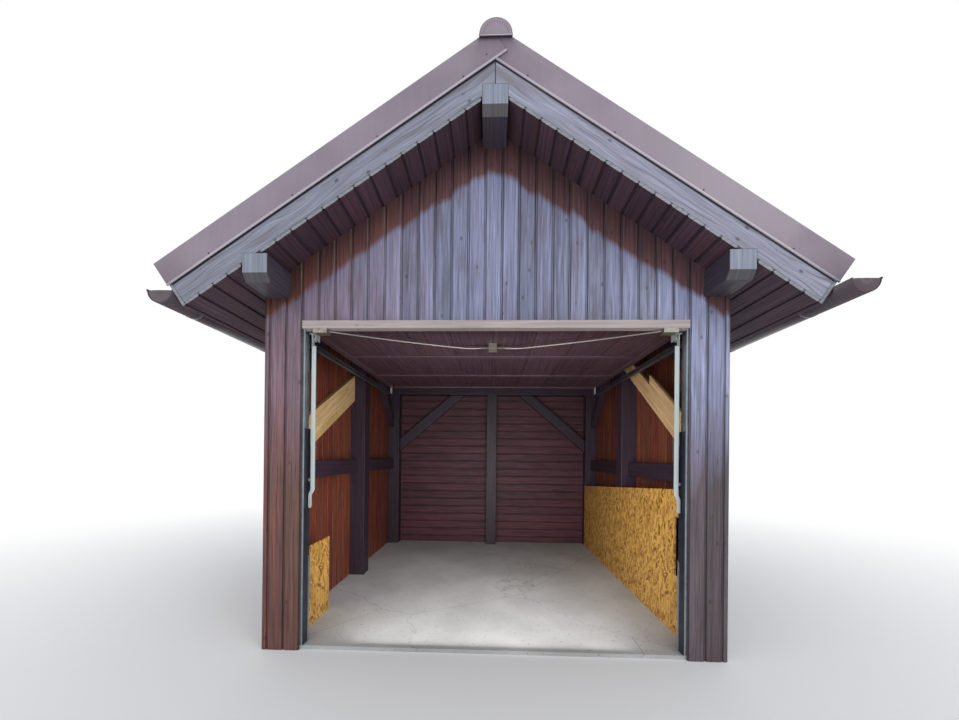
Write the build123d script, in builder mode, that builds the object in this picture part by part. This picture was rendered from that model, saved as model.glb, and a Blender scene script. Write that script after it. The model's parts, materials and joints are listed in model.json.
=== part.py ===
from build123d import *
import os
from math import cos, radians, sin, tan

# Timber garage-type store with an up-and-over door that stands open, in millimetres.
# Origin at ground level under the middle of the plan, the doorway faces -Y, +Z is up.

# Plan and walls
plan_width = 3000
plan_depth = 3000
board_thickness = 20
post_size = 150
back_post_width = 140
slab_height = 25
plate_height = 160
mid_rail_height = 140
rail_thickness = 80

# Doorway
clad_post_width = 250
opening_height = 2150
lintel_height = 155
tie_height = 150

# Roof
roof_pitch = 34
rafter_depth = 200
rafter_thickness = 60
eave_length = 396
inner_rafters = 3
birdsmouth_seat = 79
verge_overhang = 250
purlin_width = 150
ridge_purlin_height = 160
ridge_purlin_notch = 70
purlin_end_rise = 45
purlin_end_cut = 35
barge_joint = 3
soffit_thickness = 18
batten_height = 60
batten_width = 50
sheet_step = 24
sheet_rows = 7
sheet_overrun = 40
metal = 3
verge_face = 160
verge_top_width = 110
verge_overrun = 26
verge_lap = 166
cap_radius = 98
cap_overrun = 20
cap_lip = 12
fascia_thickness = 20
fascia_depth = 178
gutter_radius = 75
gutter_wall = 3
gutter_rise = 98
gutter_bead = 6
gutter_left_overrun = 0
gutter_right_overrun = 100
bracket_width = 25
brackets_per_gutter = 5

# Linings and added timber inside
osb_thickness = 12
osb_right_height = 1050
osb_slot_height = 420
osb_slot_bottom = 420
osb_slot_depth = 220
osb_left_height = 590
osb_left_length = 495
strut_left_thickness = 40
strut_left_height = 260
strut_left_toe = 137
strut_left_head = 615
strut_thickness = 22
strut_height = 82
strut_foot = 30
strut_head_gap = 14
strut_short_length = 635

# Knee braces
side_brace_leg = 620
side_brace_width = 150
back_brace_leg_x = 930
back_brace_leg_z = 800
back_brace_width = 170

# Door gear
jamb_cover = 12
jamb_width = 42
jamb_depth = 60
cover_thickness = 6
cover_depth = 72
cover_height = 1430
strap_width = 15
strap_height = 575
strap_hook = 14
leaf_side_gap = 18
leaf_thickness = 50
leaf_head_gap = 10
leaf_top_gap = 13
leaf_floor_gap = 12
leaf_setback = 20
leaf_skin = 12
leaf_lining = 9
stile_width = 50
rib_width = 60
rib_depth = 14
leaf_bays = 3
top_rail_width = 90
bottom_rail_width = 60
pin_setback = 125
pin_drop = 30
pin_radius = 6
pin_clearance = 0.4
roller_drop = 60
roller_radius = 13
roller_width = 20
roller_side_gap = 5
stem_radius = 5
track_wall = 3
seat_gap = 0.3
track_running_gap = 2
track_side_gap = 6
track_end_room = 45
hanger_width = 40
arm_width = 30
arm_depth = 30
arm_wall = 4
arm_cover_gap = 6
arm_flange_end = 50
crank_offset = 14
crank_drop = 60
crank_length = 40
lever_reach = 185
lever_width = 24
boss_radius = 20
stub_radius = 12
pin_running_gap = 1
clevis_plate = 4
clevis_length = 60
lock_place = 390
lock_width = 60
lock_length = 80
lock_height = 30
lock_bar_length = 180
lock_bar_width = 16
lock_bar_thickness = 6
latch_width = 90
latch_length = 60
latch_height = 28
latch_from_edge = 160
cord_radius = 4
cord_drop = 12
cord_straight = 100
cord_bend_radius = 300
cord_end_gap = 1.6

# Worked out from the sizes above
half_width = plan_width / 2
half_depth = plan_depth / 2
half_opening = half_width - clad_post_width
inside_x = half_width - board_thickness
inside_y = half_depth - board_thickness
post_inner_x = inside_x - post_size
post_inner_y = inside_y - post_size
verge_y = half_depth + verge_overhang
slope_cos = cos(radians(roof_pitch))
slope_sin = sin(radians(roof_pitch))
slope_tan = tan(radians(roof_pitch))
plate_bottom = opening_height + lintel_height
plate_top = plate_bottom + plate_height
mid_rail_bottom = (slab_height + plate_bottom - mid_rail_height) / 2
mid_rail_top = mid_rail_bottom + mid_rail_height
half_purlin = purlin_width / 2
birdsmouth_x = inside_x - birdsmouth_seat
rafter_ridge_z = plate_top + birdsmouth_x * slope_tan
rafter_length = half_width / slope_cos + eave_length
ridge_purlin_top = rafter_ridge_z - half_purlin * slope_tan + ridge_purlin_notch
ridge_purlin_bottom = ridge_purlin_top - ridge_purlin_height
sheet_bottom = rafter_depth + batten_height
sheet_top = sheet_bottom + sheet_step + metal
verge_top = sheet_top + metal
verge_bottom = verge_top - verge_face

os.makedirs("parts", exist_ok=True)


def save(piece, name):
    """Label a finished piece and write it as its own STEP file."""
    piece.part.label = name
    export_step(piece.part, f"parts/{name}.step")


def rafter_underside(x):
    """Height of the rafters' underside at a distance x from the ridge line."""
    return rafter_ridge_z - slope_tan * abs(x)


def soffit_underside(x):
    """Height of the soffit boards' underside at a distance x from the ridge line."""
    return rafter_underside(x) - soffit_thickness / slope_cos


def slope_point(along, above):
    """Point on the right slope: along it from the ridge, and square above the rafters' underside."""
    x = along * slope_cos + above * slope_sin
    z = rafter_ridge_z - along * slope_sin + above * slope_cos
    return (x, z)


def ridge_point(above, gap=0):
    """Point of a roof layer where its plumb cut meets the ridge line."""
    return (gap, rafter_ridge_z + above / slope_cos - gap * slope_tan)


def mirrored(points, side):
    """Outline in x and z turned to the left slope when side is -1."""
    return [(side * x, z) for x, z in points]


def prism_along_y(points, front, back, mode=Mode.ADD):
    """Extrude a closed outline in x and z from y = front to y = back."""
    with BuildSketch(Plane.XZ.offset(-front)) as section:
        with BuildLine():
            Polyline(*points, close=True)
        make_face()
    extrude(section.sketch, amount=front - back, mode=mode)


def prism_along_x(points, start, end, mode=Mode.ADD):
    """Extrude a closed outline in y and z from x = start to x = end."""
    with BuildSketch(Plane.YZ.offset(start)) as section:
        with BuildLine():
            Polyline(*points, close=True)
        make_face()
    extrude(section.sketch, amount=end - start, mode=mode)


def block(x0, x1, y0, y1, z0, z1, mode=Mode.ADD):
    """Plain timber or plate between six faces."""
    with BuildSketch(Plane.XY.offset(z0)) as section:
        with Locations(((x0 + x1) / 2, (y0 + y1) / 2)):
            Rectangle(abs(x1 - x0), abs(y1 - y0))
    extrude(section.sketch, amount=z1 - z0, mode=mode)


def rod_along_x(y, z, radius, start, end, mode=Mode.ADD):
    """Round bar along X from x = start to x = end."""
    with BuildSketch(Plane.YZ.offset(start)) as section:
        with Locations((y, z)):
            Circle(radius)
    extrude(section.sketch, amount=end - start, mode=mode)


# Floor slab inside the cladding
with BuildPart() as floor_slab:
    block(-inside_x, inside_x, -inside_y, inside_y, 0, slab_height)
save(floor_slab, "floor_slab")

# Posts: front, middle and back on each side
with BuildPart() as side_posts:
    for side in (-1, 1):
        for middle in (-inside_y + post_size / 2, 0, inside_y - post_size / 2):
            front = middle - post_size / 2
            block(side * post_inner_x, side * inside_x, front, front + post_size, slab_height, plate_bottom)
save(side_posts, "side_posts")

# Studs beside the doorway, behind the front boards and beside the steel jambs
jamb_x = half_opening - jamb_cover
stud_x = jamb_x + jamb_width
stud_back_y = -inside_y + jamb_depth
with BuildPart() as door_studs:
    for side in (-1, 1):
        block(side * stud_x, side * post_inner_x, -inside_y, stud_back_y, slab_height, opening_height)
save(door_studs, "door_studs")

# Beams over the doorway and the back wall
with BuildPart() as lintel:
    block(-post_inner_x, post_inner_x, -inside_y, -post_inner_y, opening_height, plate_bottom)
save(lintel, "lintel")

tie_bottom = plate_bottom - tie_height
with BuildPart() as back_tie:
    block(-post_inner_x, post_inner_x, post_inner_y, inside_y, tie_bottom, plate_bottom)
save(back_tie, "back_tie")

with BuildPart() as back_centre_post:
    half_back_post = back_post_width / 2
    block(-half_back_post, half_back_post, post_inner_y, inside_y, slab_height, tie_bottom)
save(back_centre_post, "back_centre_post")



def purlin_side(bottom, top):
    """Side view of a purlin, with the lower edge of both ends cut off at an angle."""
    foot_y = verge_y - purlin_end_cut
    cut_z = bottom + purlin_end_rise
    front = [(-verge_y, top), (-verge_y, cut_z), (-foot_y, bottom)]
    return [*front, (foot_y, bottom), (verge_y, cut_z), (verge_y, top)]


# Wall plates and ridge purlin, which run out to the verges
with BuildPart() as purlins:
    for side in (-1, 1):
        prism_along_x(purlin_side(plate_bottom, plate_top), side * post_inner_x, side * inside_x)
    prism_along_x(purlin_side(ridge_purlin_bottom, ridge_purlin_top), -half_purlin, half_purlin)
save(purlins, "purlins")

# Boarding of the front: each clad post, notched under its wall plate
for side, name in ((-1, "front_cladding_left"), (1, "front_cladding_right")):
    with BuildPart() as front_cladding:
        outline = [
            (half_opening, 0),
            (half_width, 0),
            (half_width, soffit_underside(half_width)),
            (inside_x, soffit_underside(inside_x)),
            (inside_x, plate_bottom),
            (post_inner_x, plate_bottom),
            (post_inner_x, soffit_underside(post_inner_x)),
            (half_opening, soffit_underside(half_opening)),
        ]
        prism_along_y(mirrored(outline, side), -half_depth, -inside_y)
    save(front_cladding, name)

# Gable boarding over the doorway and over the back wall
ridge_notch = [
    (half_purlin, soffit_underside(half_purlin)),
    (half_purlin, ridge_purlin_bottom),
    (-half_purlin, ridge_purlin_bottom),
    (-half_purlin, soffit_underside(half_purlin)),
]
with BuildPart() as front_gable:
    outline = [
        (-half_opening, opening_height),
        (half_opening, opening_height),
        (half_opening, soffit_underside(half_opening)),
        *ridge_notch,
        (-half_opening, soffit_underside(half_opening)),
    ]
    prism_along_y(outline, -half_depth, -inside_y)
save(front_gable, "front_gable")

with BuildPart() as back_gable:
    outline = [
        (-post_inner_x, plate_bottom),
        (post_inner_x, plate_bottom),
        (post_inner_x, soffit_underside(post_inner_x)),
        *ridge_notch,
        (-post_inner_x, soffit_underside(post_inner_x)),
    ]
    prism_along_y(outline, inside_y, half_depth)
save(back_gable, "back_gable")

# Back wall and side walls
with BuildPart() as back_wall:
    block(-half_width, half_width, inside_y, half_depth, 0, plate_bottom)
save(back_wall, "back_wall")

for side, name in ((-1, "side_wall_left"), (1, "side_wall_right")):
    with BuildPart() as side_wall:
        outline = [
            (inside_x, 0),
            (half_width, 0),
            (half_width, soffit_underside(half_width)),
            (inside_x, soffit_underside(inside_x)),
        ]
        prism_along_y(mirrored(outline, side), -inside_y, inside_y)
    save(side_wall, name)

# Rails between the side posts
rail_x = inside_x - rail_thickness
with BuildPart() as mid_rails:
    for side in (-1, 1):
        for start, end in ((-post_inner_y, -post_size / 2), (post_size / 2, post_inner_y)):
            block(side * rail_x, side * inside_x, start, end, mid_rail_bottom, mid_rail_top)
save(mid_rails, "mid_rails")

# Knee braces: post to wall plate at the corners, post to tie on the back wall
with BuildPart() as knee_braces:
    for side in (-1, 1):
        for end in (-1, 1):
            foot = plate_bottom - side_brace_leg
            outline = [
                (end * post_inner_y, foot),
                (end * post_inner_y, foot + side_brace_width),
                (end * (post_inner_y - side_brace_leg + side_brace_width), plate_bottom),
                (end * (post_inner_y - side_brace_leg), plate_bottom),
            ]
            prism_along_x(outline, side * rail_x, side * inside_x)
        foot = tie_bottom - back_brace_leg_z
        back_brace_head = back_brace_width * back_brace_leg_x / back_brace_leg_z
        outline = [
            (post_inner_x, foot),
            (post_inner_x, foot + back_brace_width),
            (post_inner_x - back_brace_leg_x + back_brace_head, tie_bottom),
            (post_inner_x - back_brace_leg_x, tie_bottom),
        ]
        prism_along_y(mirrored(outline, side), inside_y - rail_thickness, inside_y)
save(knee_braces, "knee_braces")

# Rafter outline: plumb cut at the ridge, notched over the ridge purlin and the wall plate
rafter_outline = [
    (barge_joint / 2, ridge_purlin_top),
    (half_purlin, ridge_purlin_top),
    (half_purlin, rafter_underside(half_purlin)),
    (birdsmouth_x, plate_top),
    (inside_x, plate_top),
    (inside_x, rafter_underside(inside_x)),
    slope_point(rafter_length, 0),
    slope_point(rafter_length, rafter_depth),
    ridge_point(rafter_depth, barge_joint / 2),
]
with BuildPart() as barge_rafters_front:
    for side in (-1, 1):
        prism_along_y(mirrored(rafter_outline, side), -verge_y, -verge_y + rafter_thickness)
save(barge_rafters_front, "barge_rafters_front")

with BuildPart() as barge_rafters_back:
    for side in (-1, 1):
        prism_along_y(mirrored(rafter_outline, side), verge_y - rafter_thickness, verge_y)
save(barge_rafters_back, "barge_rafters_back")

rafter_pitch = plan_depth / inner_rafters
with BuildPart() as inner_rafter_pairs:
    for index in range(inner_rafters):
        middle = (index - (inner_rafters - 1) / 2) * rafter_pitch
        for side in (-1, 1):
            front = middle - rafter_thickness / 2
            prism_along_y(mirrored(rafter_outline, side), front, front + rafter_thickness)
save(inner_rafter_pairs, "inner_rafters")

# Boards fixed under the rafters, between the purlins and out to the eaves
for side, name in ((-1, "soffit_boards_left"), (1, "soffit_boards_right")):
    with BuildPart() as soffit_boards:
        upper = [
            (half_purlin, rafter_underside(half_purlin)),
            (half_purlin, soffit_underside(half_purlin)),
            (post_inner_x, soffit_underside(post_inner_x)),
            (post_inner_x, rafter_underside(post_inner_x)),
        ]
        eave = [
            (inside_x, rafter_underside(inside_x)),
            (inside_x, soffit_underside(inside_x)),
            slope_point(rafter_length, -soffit_thickness),
            slope_point(rafter_length, 0),
        ]
        prism_along_y(mirrored(upper, side), -verge_y, verge_y)
        prism_along_y(mirrored(eave, side), -verge_y, verge_y)
    save(soffit_boards, name)

# Battens along the roof on top of the rafters, one under the head of each tile row and one at the eave
with BuildPart() as battens:
    batten_pitch = (rafter_length + sheet_overrun) / sheet_rows
    batten_starts = [row * batten_pitch for row in range(sheet_rows)] + [rafter_length - batten_width]
    for start in batten_starts:
        outline = [
            slope_point(start, rafter_depth),
            slope_point(start + batten_width, rafter_depth),
            slope_point(start + batten_width, sheet_bottom),
            slope_point(start, sheet_bottom),
        ]
        for side in (-1, 1):
            prism_along_y(mirrored(outline, side), -verge_y, verge_y)
save(battens, "battens")

# Roof sheets, bent from thin metal with a step at the foot of each pressed tile row
sheet_end = rafter_length + sheet_overrun
row_length = sheet_end / sheet_rows
upper_face = [ridge_point(sheet_bottom + metal, barge_joint / 2)]
lower_face = [ridge_point(sheet_bottom, barge_joint / 2)]
for row in range(1, sheet_rows + 1):
    foot = row * row_length
    upper_face.append(slope_point(foot, sheet_top))
    lower_face.append(slope_point(foot - metal, sheet_top - metal))
    if row < sheet_rows:
        upper_face.append(slope_point(foot, sheet_bottom + metal))
        lower_face.append(slope_point(foot - metal, sheet_bottom))
upper_face.append(slope_point(sheet_end, sheet_bottom))
lower_face.append(slope_point(sheet_end - metal, sheet_bottom))
for side, name in ((-1, "roof_sheet_left"), (1, "roof_sheet_right")):
    with BuildPart() as roof_sheet:
        outline = [*upper_face, *reversed(lower_face)]
        prism_along_y(mirrored(outline, side), -verge_y, verge_y)
    save(roof_sheet, name)


def verge_flashing(side, face_y, outward, start):
    """Bent verge cover: face board of metal, flange on the sheet."""
    end = rafter_length + verge_overrun
    face = [
        slope_point(start, verge_bottom) if start else ridge_point(verge_bottom),
        slope_point(end, verge_bottom),
        slope_point(end, verge_top),
        slope_point(start, verge_top) if start else ridge_point(verge_top),
    ]
    flange = [
        ridge_point(sheet_top, barge_joint / 2),
        slope_point(end, sheet_top),
        slope_point(end, verge_top),
        ridge_point(verge_top, barge_joint / 2),
    ]
    prism_along_y(mirrored(face, side), face_y, face_y - outward * metal)
    prism_along_y(mirrored(flange, side), face_y - outward * metal, face_y - outward * verge_top_width)


# Verge covers; the left one laps over the right one at the front ridge
with BuildPart() as verge_front_left:
    verge_flashing(-1, -verge_y - 2 * metal, -1, -verge_lap)
save(verge_front_left, "verge_front_left")

with BuildPart() as verge_front_right:
    verge_flashing(1, -verge_y - metal, -1, 0)
save(verge_front_right, "verge_front_right")

with BuildPart() as verge_back_right:
    verge_flashing(1, verge_y + 2 * metal, 1, -verge_lap)
save(verge_back_right, "verge_back_right")

with BuildPart() as verge_back_left:
    verge_flashing(-1, verge_y + metal, 1, 0)
save(verge_back_left, "verge_back_left")

# Half-round ridge cap with closed ends and a straight lip under each end
cap_z = ridge_point(verge_top, cap_radius - metal)[1]
cap_y = verge_y + cap_overrun
with BuildPart() as ridge_cap:
    with BuildSketch(Plane.XZ.offset(cap_y)) as cap_section:
        with Locations((0, cap_z)):
            Circle(cap_radius)
            Circle(cap_radius - metal, mode=Mode.SUBTRACT)
        with Locations((0, cap_z - cap_radius / 2)):
            Rectangle(2 * cap_radius, cap_radius, mode=Mode.SUBTRACT)
    extrude(amount=-2 * cap_y)
    for start in (-cap_y, cap_y - metal):
        with BuildSketch(Plane.XZ.offset(-start)):
            with Locations((0, cap_z)):
                Circle(cap_radius)
            with Locations((0, cap_z - cap_lip / 2 - cap_radius / 2)):
                Rectangle(2 * cap_radius, cap_radius - cap_lip, mode=Mode.SUBTRACT)
            with Locations((0, cap_z - cap_radius)):
                Rectangle(2 * cap_radius, cap_radius, mode=Mode.SUBTRACT)
        extrude(amount=-metal)
save(ridge_cap, "ridge_cap")

# Fascia boards square to the slope on the rafter ends
with BuildPart() as fascias:
    outline = [
        slope_point(rafter_length, -soffit_thickness),
        slope_point(rafter_length + fascia_thickness, -soffit_thickness),
        slope_point(rafter_length + fascia_thickness, fascia_depth - soffit_thickness),
        slope_point(rafter_length, fascia_depth - soffit_thickness),
    ]
    for side in (-1, 1):
        prism_along_y(mirrored(outline, side), -verge_y, verge_y)
save(fascias, "fascias")

# Half-round gutters in strap brackets that hang on the fascias
fascia_foot = slope_point(rafter_length + fascia_thickness, -soffit_thickness)
gutter_rim_z = fascia_foot[1] + gutter_rise
fascia_x = fascia_foot[0] + gutter_rise * slope_tan
gutter_x = fascia_x + metal + gutter_radius
for side, name, overrun in (
    (-1, "gutter_left", gutter_left_overrun),
    (1, "gutter_right", gutter_right_overrun),
):
    gutter_y = verge_y + overrun
    with BuildPart() as gutter:
        with BuildSketch(Plane.XZ.offset(gutter_y)):
            with Locations((side * gutter_x, gutter_rim_z)):
                Circle(gutter_radius)
                Circle(gutter_radius - gutter_wall, mode=Mode.SUBTRACT)
            with Locations((side * gutter_x, gutter_rim_z + gutter_radius / 2)):
                Rectangle(2 * gutter_radius, gutter_radius, mode=Mode.SUBTRACT)
            with Locations((side * (gutter_x + gutter_radius - gutter_wall / 2), gutter_rim_z)):
                Circle(gutter_bead)
        extrude(amount=-2 * gutter_y)
        for start in (-gutter_y, gutter_y - gutter_wall):
            with BuildSketch(Plane.XZ.offset(-start)):
                with Locations((side * gutter_x, gutter_rim_z)):
                    Circle(gutter_radius)
                with Locations((side * gutter_x, gutter_rim_z + gutter_radius / 2)):
                    Rectangle(2 * gutter_radius, gutter_radius, mode=Mode.SUBTRACT)
            extrude(amount=-gutter_wall)
        for index in range(brackets_per_gutter):
            bracket_pitch = plan_depth / (brackets_per_gutter - 1)
            start = -half_depth + index * bracket_pitch - bracket_width / 2
            with BuildSketch(Plane.XZ.offset(-start)):
                with Locations((side * gutter_x, gutter_rim_z)):
                    Circle(gutter_radius + metal)
                    Circle(gutter_radius - metal / 2, mode=Mode.SUBTRACT)
                with Locations((side * gutter_x, gutter_rim_z + gutter_radius)):
                    Rectangle(3 * gutter_radius, 2 * gutter_radius, mode=Mode.SUBTRACT)
            extrude(amount=-bracket_width)
    save(gutter, name)

# Strand board linings nailed to the posts; the right one is notched at its front edge
lining_x = post_inner_x - osb_thickness
lining_front_y = -post_inner_y - post_size / 2
with BuildPart() as osb_linings:
    slot_bottom = slab_height + osb_slot_bottom
    outline = [
        (lining_front_y, slab_height),
        (post_inner_y, slab_height),
        (post_inner_y, slab_height + osb_right_height),
        (lining_front_y, slab_height + osb_right_height),
        (lining_front_y, slot_bottom + osb_slot_height),
        (lining_front_y + osb_slot_depth, slot_bottom + osb_slot_height),
        (lining_front_y + osb_slot_depth, slot_bottom),
        (lining_front_y, slot_bottom),
    ]
    prism_along_x(outline, lining_x, post_inner_x)
    lining_end_y = lining_front_y + osb_left_length
    lining_top = slab_height + osb_left_height
    block(-post_inner_x, -lining_x, lining_front_y, lining_end_y, slab_height, lining_top)
save(osb_linings, "osb_linings")

# New timber struts: on the left a plank from the mid rail up to the middle post
with BuildPart() as new_struts:
    head_y = -post_size / 2
    head_z = mid_rail_top + strut_left_head
    head_top = head_z + strut_left_height
    toe_y = -post_inner_y + strut_left_toe
    rise = strut_left_head / (head_y - toe_y)
    heel_top = head_top - (post_inner_y + head_y) * rise
    outline = [
        (toe_y, mid_rail_top),
        (head_y, head_z),
        (head_y, head_top),
        (-post_inner_y, heel_top),
        (-post_inner_y, mid_rail_top),
    ]
    prism_along_x(outline, -inside_x, -inside_x + strut_left_thickness)

    # On the right two boards up to the middle post and wall plate, and a short one over them
    run = -lining_front_y
    pair_foot_top = mid_rail_top + strut_foot + 2 * strut_height
    rise = (plate_top - strut_head_gap - pair_foot_top) / run
    for index, length in enumerate((run, run, strut_short_length)):
        foot = mid_rail_top + strut_foot + index * strut_height
        head = foot + length * rise
        outline = [
            (lining_front_y, foot),
            (lining_front_y + length, head),
            (lining_front_y + length, head + strut_height),
            (lining_front_y, foot + strut_height),
        ]
        prism_along_x(outline, post_inner_x - strut_thickness, post_inner_x)
save(new_struts, "new_struts")

# Steel door jambs, and the covers of the springs on their inner faces
with BuildPart() as door_jambs:
    for side in (-1, 1):
        block(side * jamb_x, side * stud_x, -inside_y, stud_back_y, slab_height, opening_height)
save(door_jambs, "door_jambs")

# Strap that anchors each spring at the floor, hooked at its top over the edge of the cover
cover_x = jamb_x - cover_thickness
cover_back_y = -inside_y + cover_depth
with BuildPart() as spring_straps:
    for side in (-1, 1):
        strap_x = side * (cover_x - metal)
        strap_top = slab_height + strap_height
        strap_back_y = cover_back_y + metal
        hook_x = side * (cover_x + strap_hook)
        block(strap_x, side * cover_x, cover_back_y - strap_width, strap_back_y, slab_height, strap_top)
        block(strap_x, hook_x, cover_back_y, strap_back_y, strap_top, strap_top + strap_hook)
save(spring_straps, "spring_straps")

leaf_inner_face_z = opening_height - leaf_head_gap - leaf_thickness
leaf_closed_y = -inside_y + leaf_setback
leaf_length = opening_height - leaf_top_gap - slab_height - leaf_floor_gap
pivot_y = leaf_closed_y + pin_drop
pin_open_z = leaf_inner_face_z - pin_drop
pin_closed_z = slab_height + leaf_floor_gap + pin_setback
pivot_z = (pin_open_z + pin_closed_z) / 2
cover_top = slab_height + cover_height
lever_outer_x = cover_x - arm_cover_gap
arm_outer_x = lever_outer_x - crank_offset
with BuildPart() as spring_covers:
    for side in (-1, 1):
        block(side * cover_x, side * jamb_x, -inside_y, cover_back_y, slab_height, cover_top)
        rod_along_x(pivot_y, pivot_z, boss_radius, side * (lever_outer_x + seat_gap), side * cover_x)
save(spring_covers, "spring_covers")

# Leaf sizes, in its open place: flat under the lintel
leaf_x = half_opening - jamb_cover - leaf_side_gap
leaf_front_y = pivot_y - pin_setback
leaf_back_y = leaf_front_y + leaf_length
leaf_top_z = leaf_inner_face_z + leaf_thickness
roller_z = leaf_inner_face_z - roller_drop
roller_from_edge = roller_z - slab_height - leaf_floor_gap
roller_open_y = leaf_front_y + roller_from_edge
roller_closed_y = leaf_closed_y + roller_drop

# Horizontal tracks with a hanger to the wall plate at the back
track_foot = roller_z - roller_radius - seat_gap - track_wall
track_head = roller_z + roller_radius + track_running_gap + track_wall
track_inner_x = leaf_x + track_side_gap
wheel_x = track_inner_x + roller_side_gap
track_web_x = wheel_x + roller_width + track_running_gap
track_outer_x = track_web_x + track_wall
track_front_y = stud_back_y
track_back_y = roller_open_y + track_end_room
with BuildPart() as tracks:
    for side in (-1, 1):
        channel = [
            (track_inner_x, track_foot),
            (track_outer_x, track_foot),
            (track_outer_x, track_head),
            (track_inner_x, track_head),
            (track_inner_x, track_head - track_wall),
            (track_web_x, track_head - track_wall),
            (track_web_x, track_foot + track_wall),
            (track_inner_x, track_foot + track_wall),
        ]
        prism_along_y(mirrored(channel, side), track_front_y, track_back_y)
        hanger_top = plate_bottom + hanger_width
        hanger = [
            (track_outer_x, track_foot),
            (track_outer_x + metal, track_foot),
            (track_outer_x + metal, plate_bottom),
            (post_inner_x, plate_bottom),
            (post_inner_x, hanger_top),
            (track_outer_x, hanger_top),
        ]
        prism_along_y(mirrored(hanger, side), track_back_y - 2 * hanger_width, track_back_y - hanger_width)
save(tracks, "tracks")

# Leaf: outer skin, inner lining, stiles, ribs and the pale bottom rail that shows over the doorway
frame_front_y = leaf_front_y + bottom_rail_width
frame_back_y = leaf_back_y - top_rail_width
skin_z = leaf_top_z - leaf_skin
lining_z = leaf_inner_face_z + rib_depth
rib_x = leaf_x - stile_width
with BuildPart() as leaf_skins:
    block(-leaf_x, leaf_x, frame_front_y, leaf_back_y, skin_z, leaf_top_z)
    block(-rib_x, rib_x, frame_front_y, frame_back_y, lining_z, lining_z + leaf_lining)
save(leaf_skins, "leaf_skins")

with BuildPart() as leaf_stiles:
    for side in (-1, 1):
        block(side * rib_x, side * leaf_x, frame_front_y, leaf_back_y, leaf_inner_face_z, skin_z)
save(leaf_stiles, "leaf_stiles")

with BuildPart() as leaf_ribs:
    for bay in range(1, leaf_bays):
        start = leaf_front_y + bay * leaf_length / leaf_bays - rib_width / 2
        block(-rib_x, rib_x, start, start + rib_width, leaf_inner_face_z, lining_z)
    block(-rib_x, rib_x, frame_back_y, leaf_back_y, leaf_inner_face_z, skin_z)
save(leaf_ribs, "leaf_ribs")

with BuildPart() as leaf_bottom_rail:
    block(-leaf_x, leaf_x, leaf_front_y, frame_front_y, leaf_inner_face_z, leaf_top_z)
save(leaf_bottom_rail, "leaf_bottom_rail")

# Lock in the middle and a latch at each bottom corner, with a cord to each
lock_y = leaf_front_y + lock_place
latch_y = leaf_front_y + latch_length / 2
latch_x = leaf_x - latch_from_edge
cord_z = leaf_inner_face_z - cord_drop
half_bar = lock_bar_length / 2
with BuildPart() as leaf_lock:
    block(
        -lock_width / 2,
        lock_width / 2,
        lock_y - lock_length / 2,
        lock_y + lock_length / 2,
        leaf_inner_face_z - lock_height,
        lining_z,
    )
    block(
        -half_bar,
        half_bar,
        lock_y - lock_bar_width / 2,
        lock_y + lock_bar_width / 2,
        cord_z - lock_bar_thickness / 2,
        cord_z + lock_bar_thickness / 2,
    )
    for side in (-1, 1):
        block(
            side * latch_x,
            side * (latch_x + latch_width),
            leaf_front_y,
            leaf_front_y + latch_length,
            leaf_inner_face_z - latch_height,
            leaf_inner_face_z,
        )
save(leaf_lock, "leaf_lock")

with BuildPart() as release_cords:
    for side in (-1, 1):
        route = [
            (side * half_bar, lock_y, cord_z),
            (side * (half_bar + cord_straight), lock_y, cord_z),
            (side * (latch_x - cord_end_gap), latch_y, cord_z),
        ]
        with BuildLine():
            path = FilletPolyline(*route, radius=cord_bend_radius)
        with BuildSketch(Plane(origin=route[0], z_dir=(side, 0, 0))):
            Circle(cord_radius)
        sweep(path=path)
save(release_cords, "release_cords")

# Brackets on the leaf: a clevis for each arm pin and a plate for each roller stem
tab_inner_x = arm_outer_x - arm_width - clevis_plate
tab_outer_x = arm_outer_x - arm_wall - 2 * clevis_plate
tab_foot = pin_open_z - 2.5 * pin_radius
pin_y = leaf_front_y + pin_setback
plate_x = leaf_x - stile_width / 2
plate_foot = roller_z - 3 * stem_radius
with BuildPart() as leaf_brackets:
    for side in (-1, 1):
        front, back = pin_y - clevis_length / 2, pin_y + clevis_length / 2
        base_foot = leaf_inner_face_z - clevis_plate
        block(side * tab_inner_x, side * leaf_x, front, back, base_foot, leaf_inner_face_z)
        for tab_x in (tab_inner_x, tab_outer_x):
            block(side * tab_x, side * (tab_x + clevis_plate), front, back, tab_foot, base_foot)
        pin_end = arm_outer_x + pin_running_gap
        rod_along_x(pin_y, pin_open_z, pin_radius, side * tab_inner_x, side * pin_end)
        front, back = roller_open_y - clevis_length / 2, roller_open_y + clevis_length / 2
        block(side * plate_x, side * (plate_x + clevis_plate), front, back, plate_foot, leaf_inner_face_z)
        hole = stem_radius + pin_clearance
        rod_along_x(roller_open_y, roller_z, hole, side * plate_x, side * leaf_x, mode=Mode.SUBTRACT)
save(leaf_brackets, "leaf_brackets")

# Rollers on their stems, which carry the back end of the open leaf
with BuildPart() as rollers:
    for side in (-1, 1):
        stem_end = plate_x - 3 * clevis_plate
        rod_along_x(roller_open_y, roller_z, roller_radius, side * wheel_x, side * (wheel_x + roller_width))
        rod_along_x(roller_open_y, roller_z, stem_radius, side * stem_end, side * wheel_x)
save(rollers, "rollers")

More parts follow.
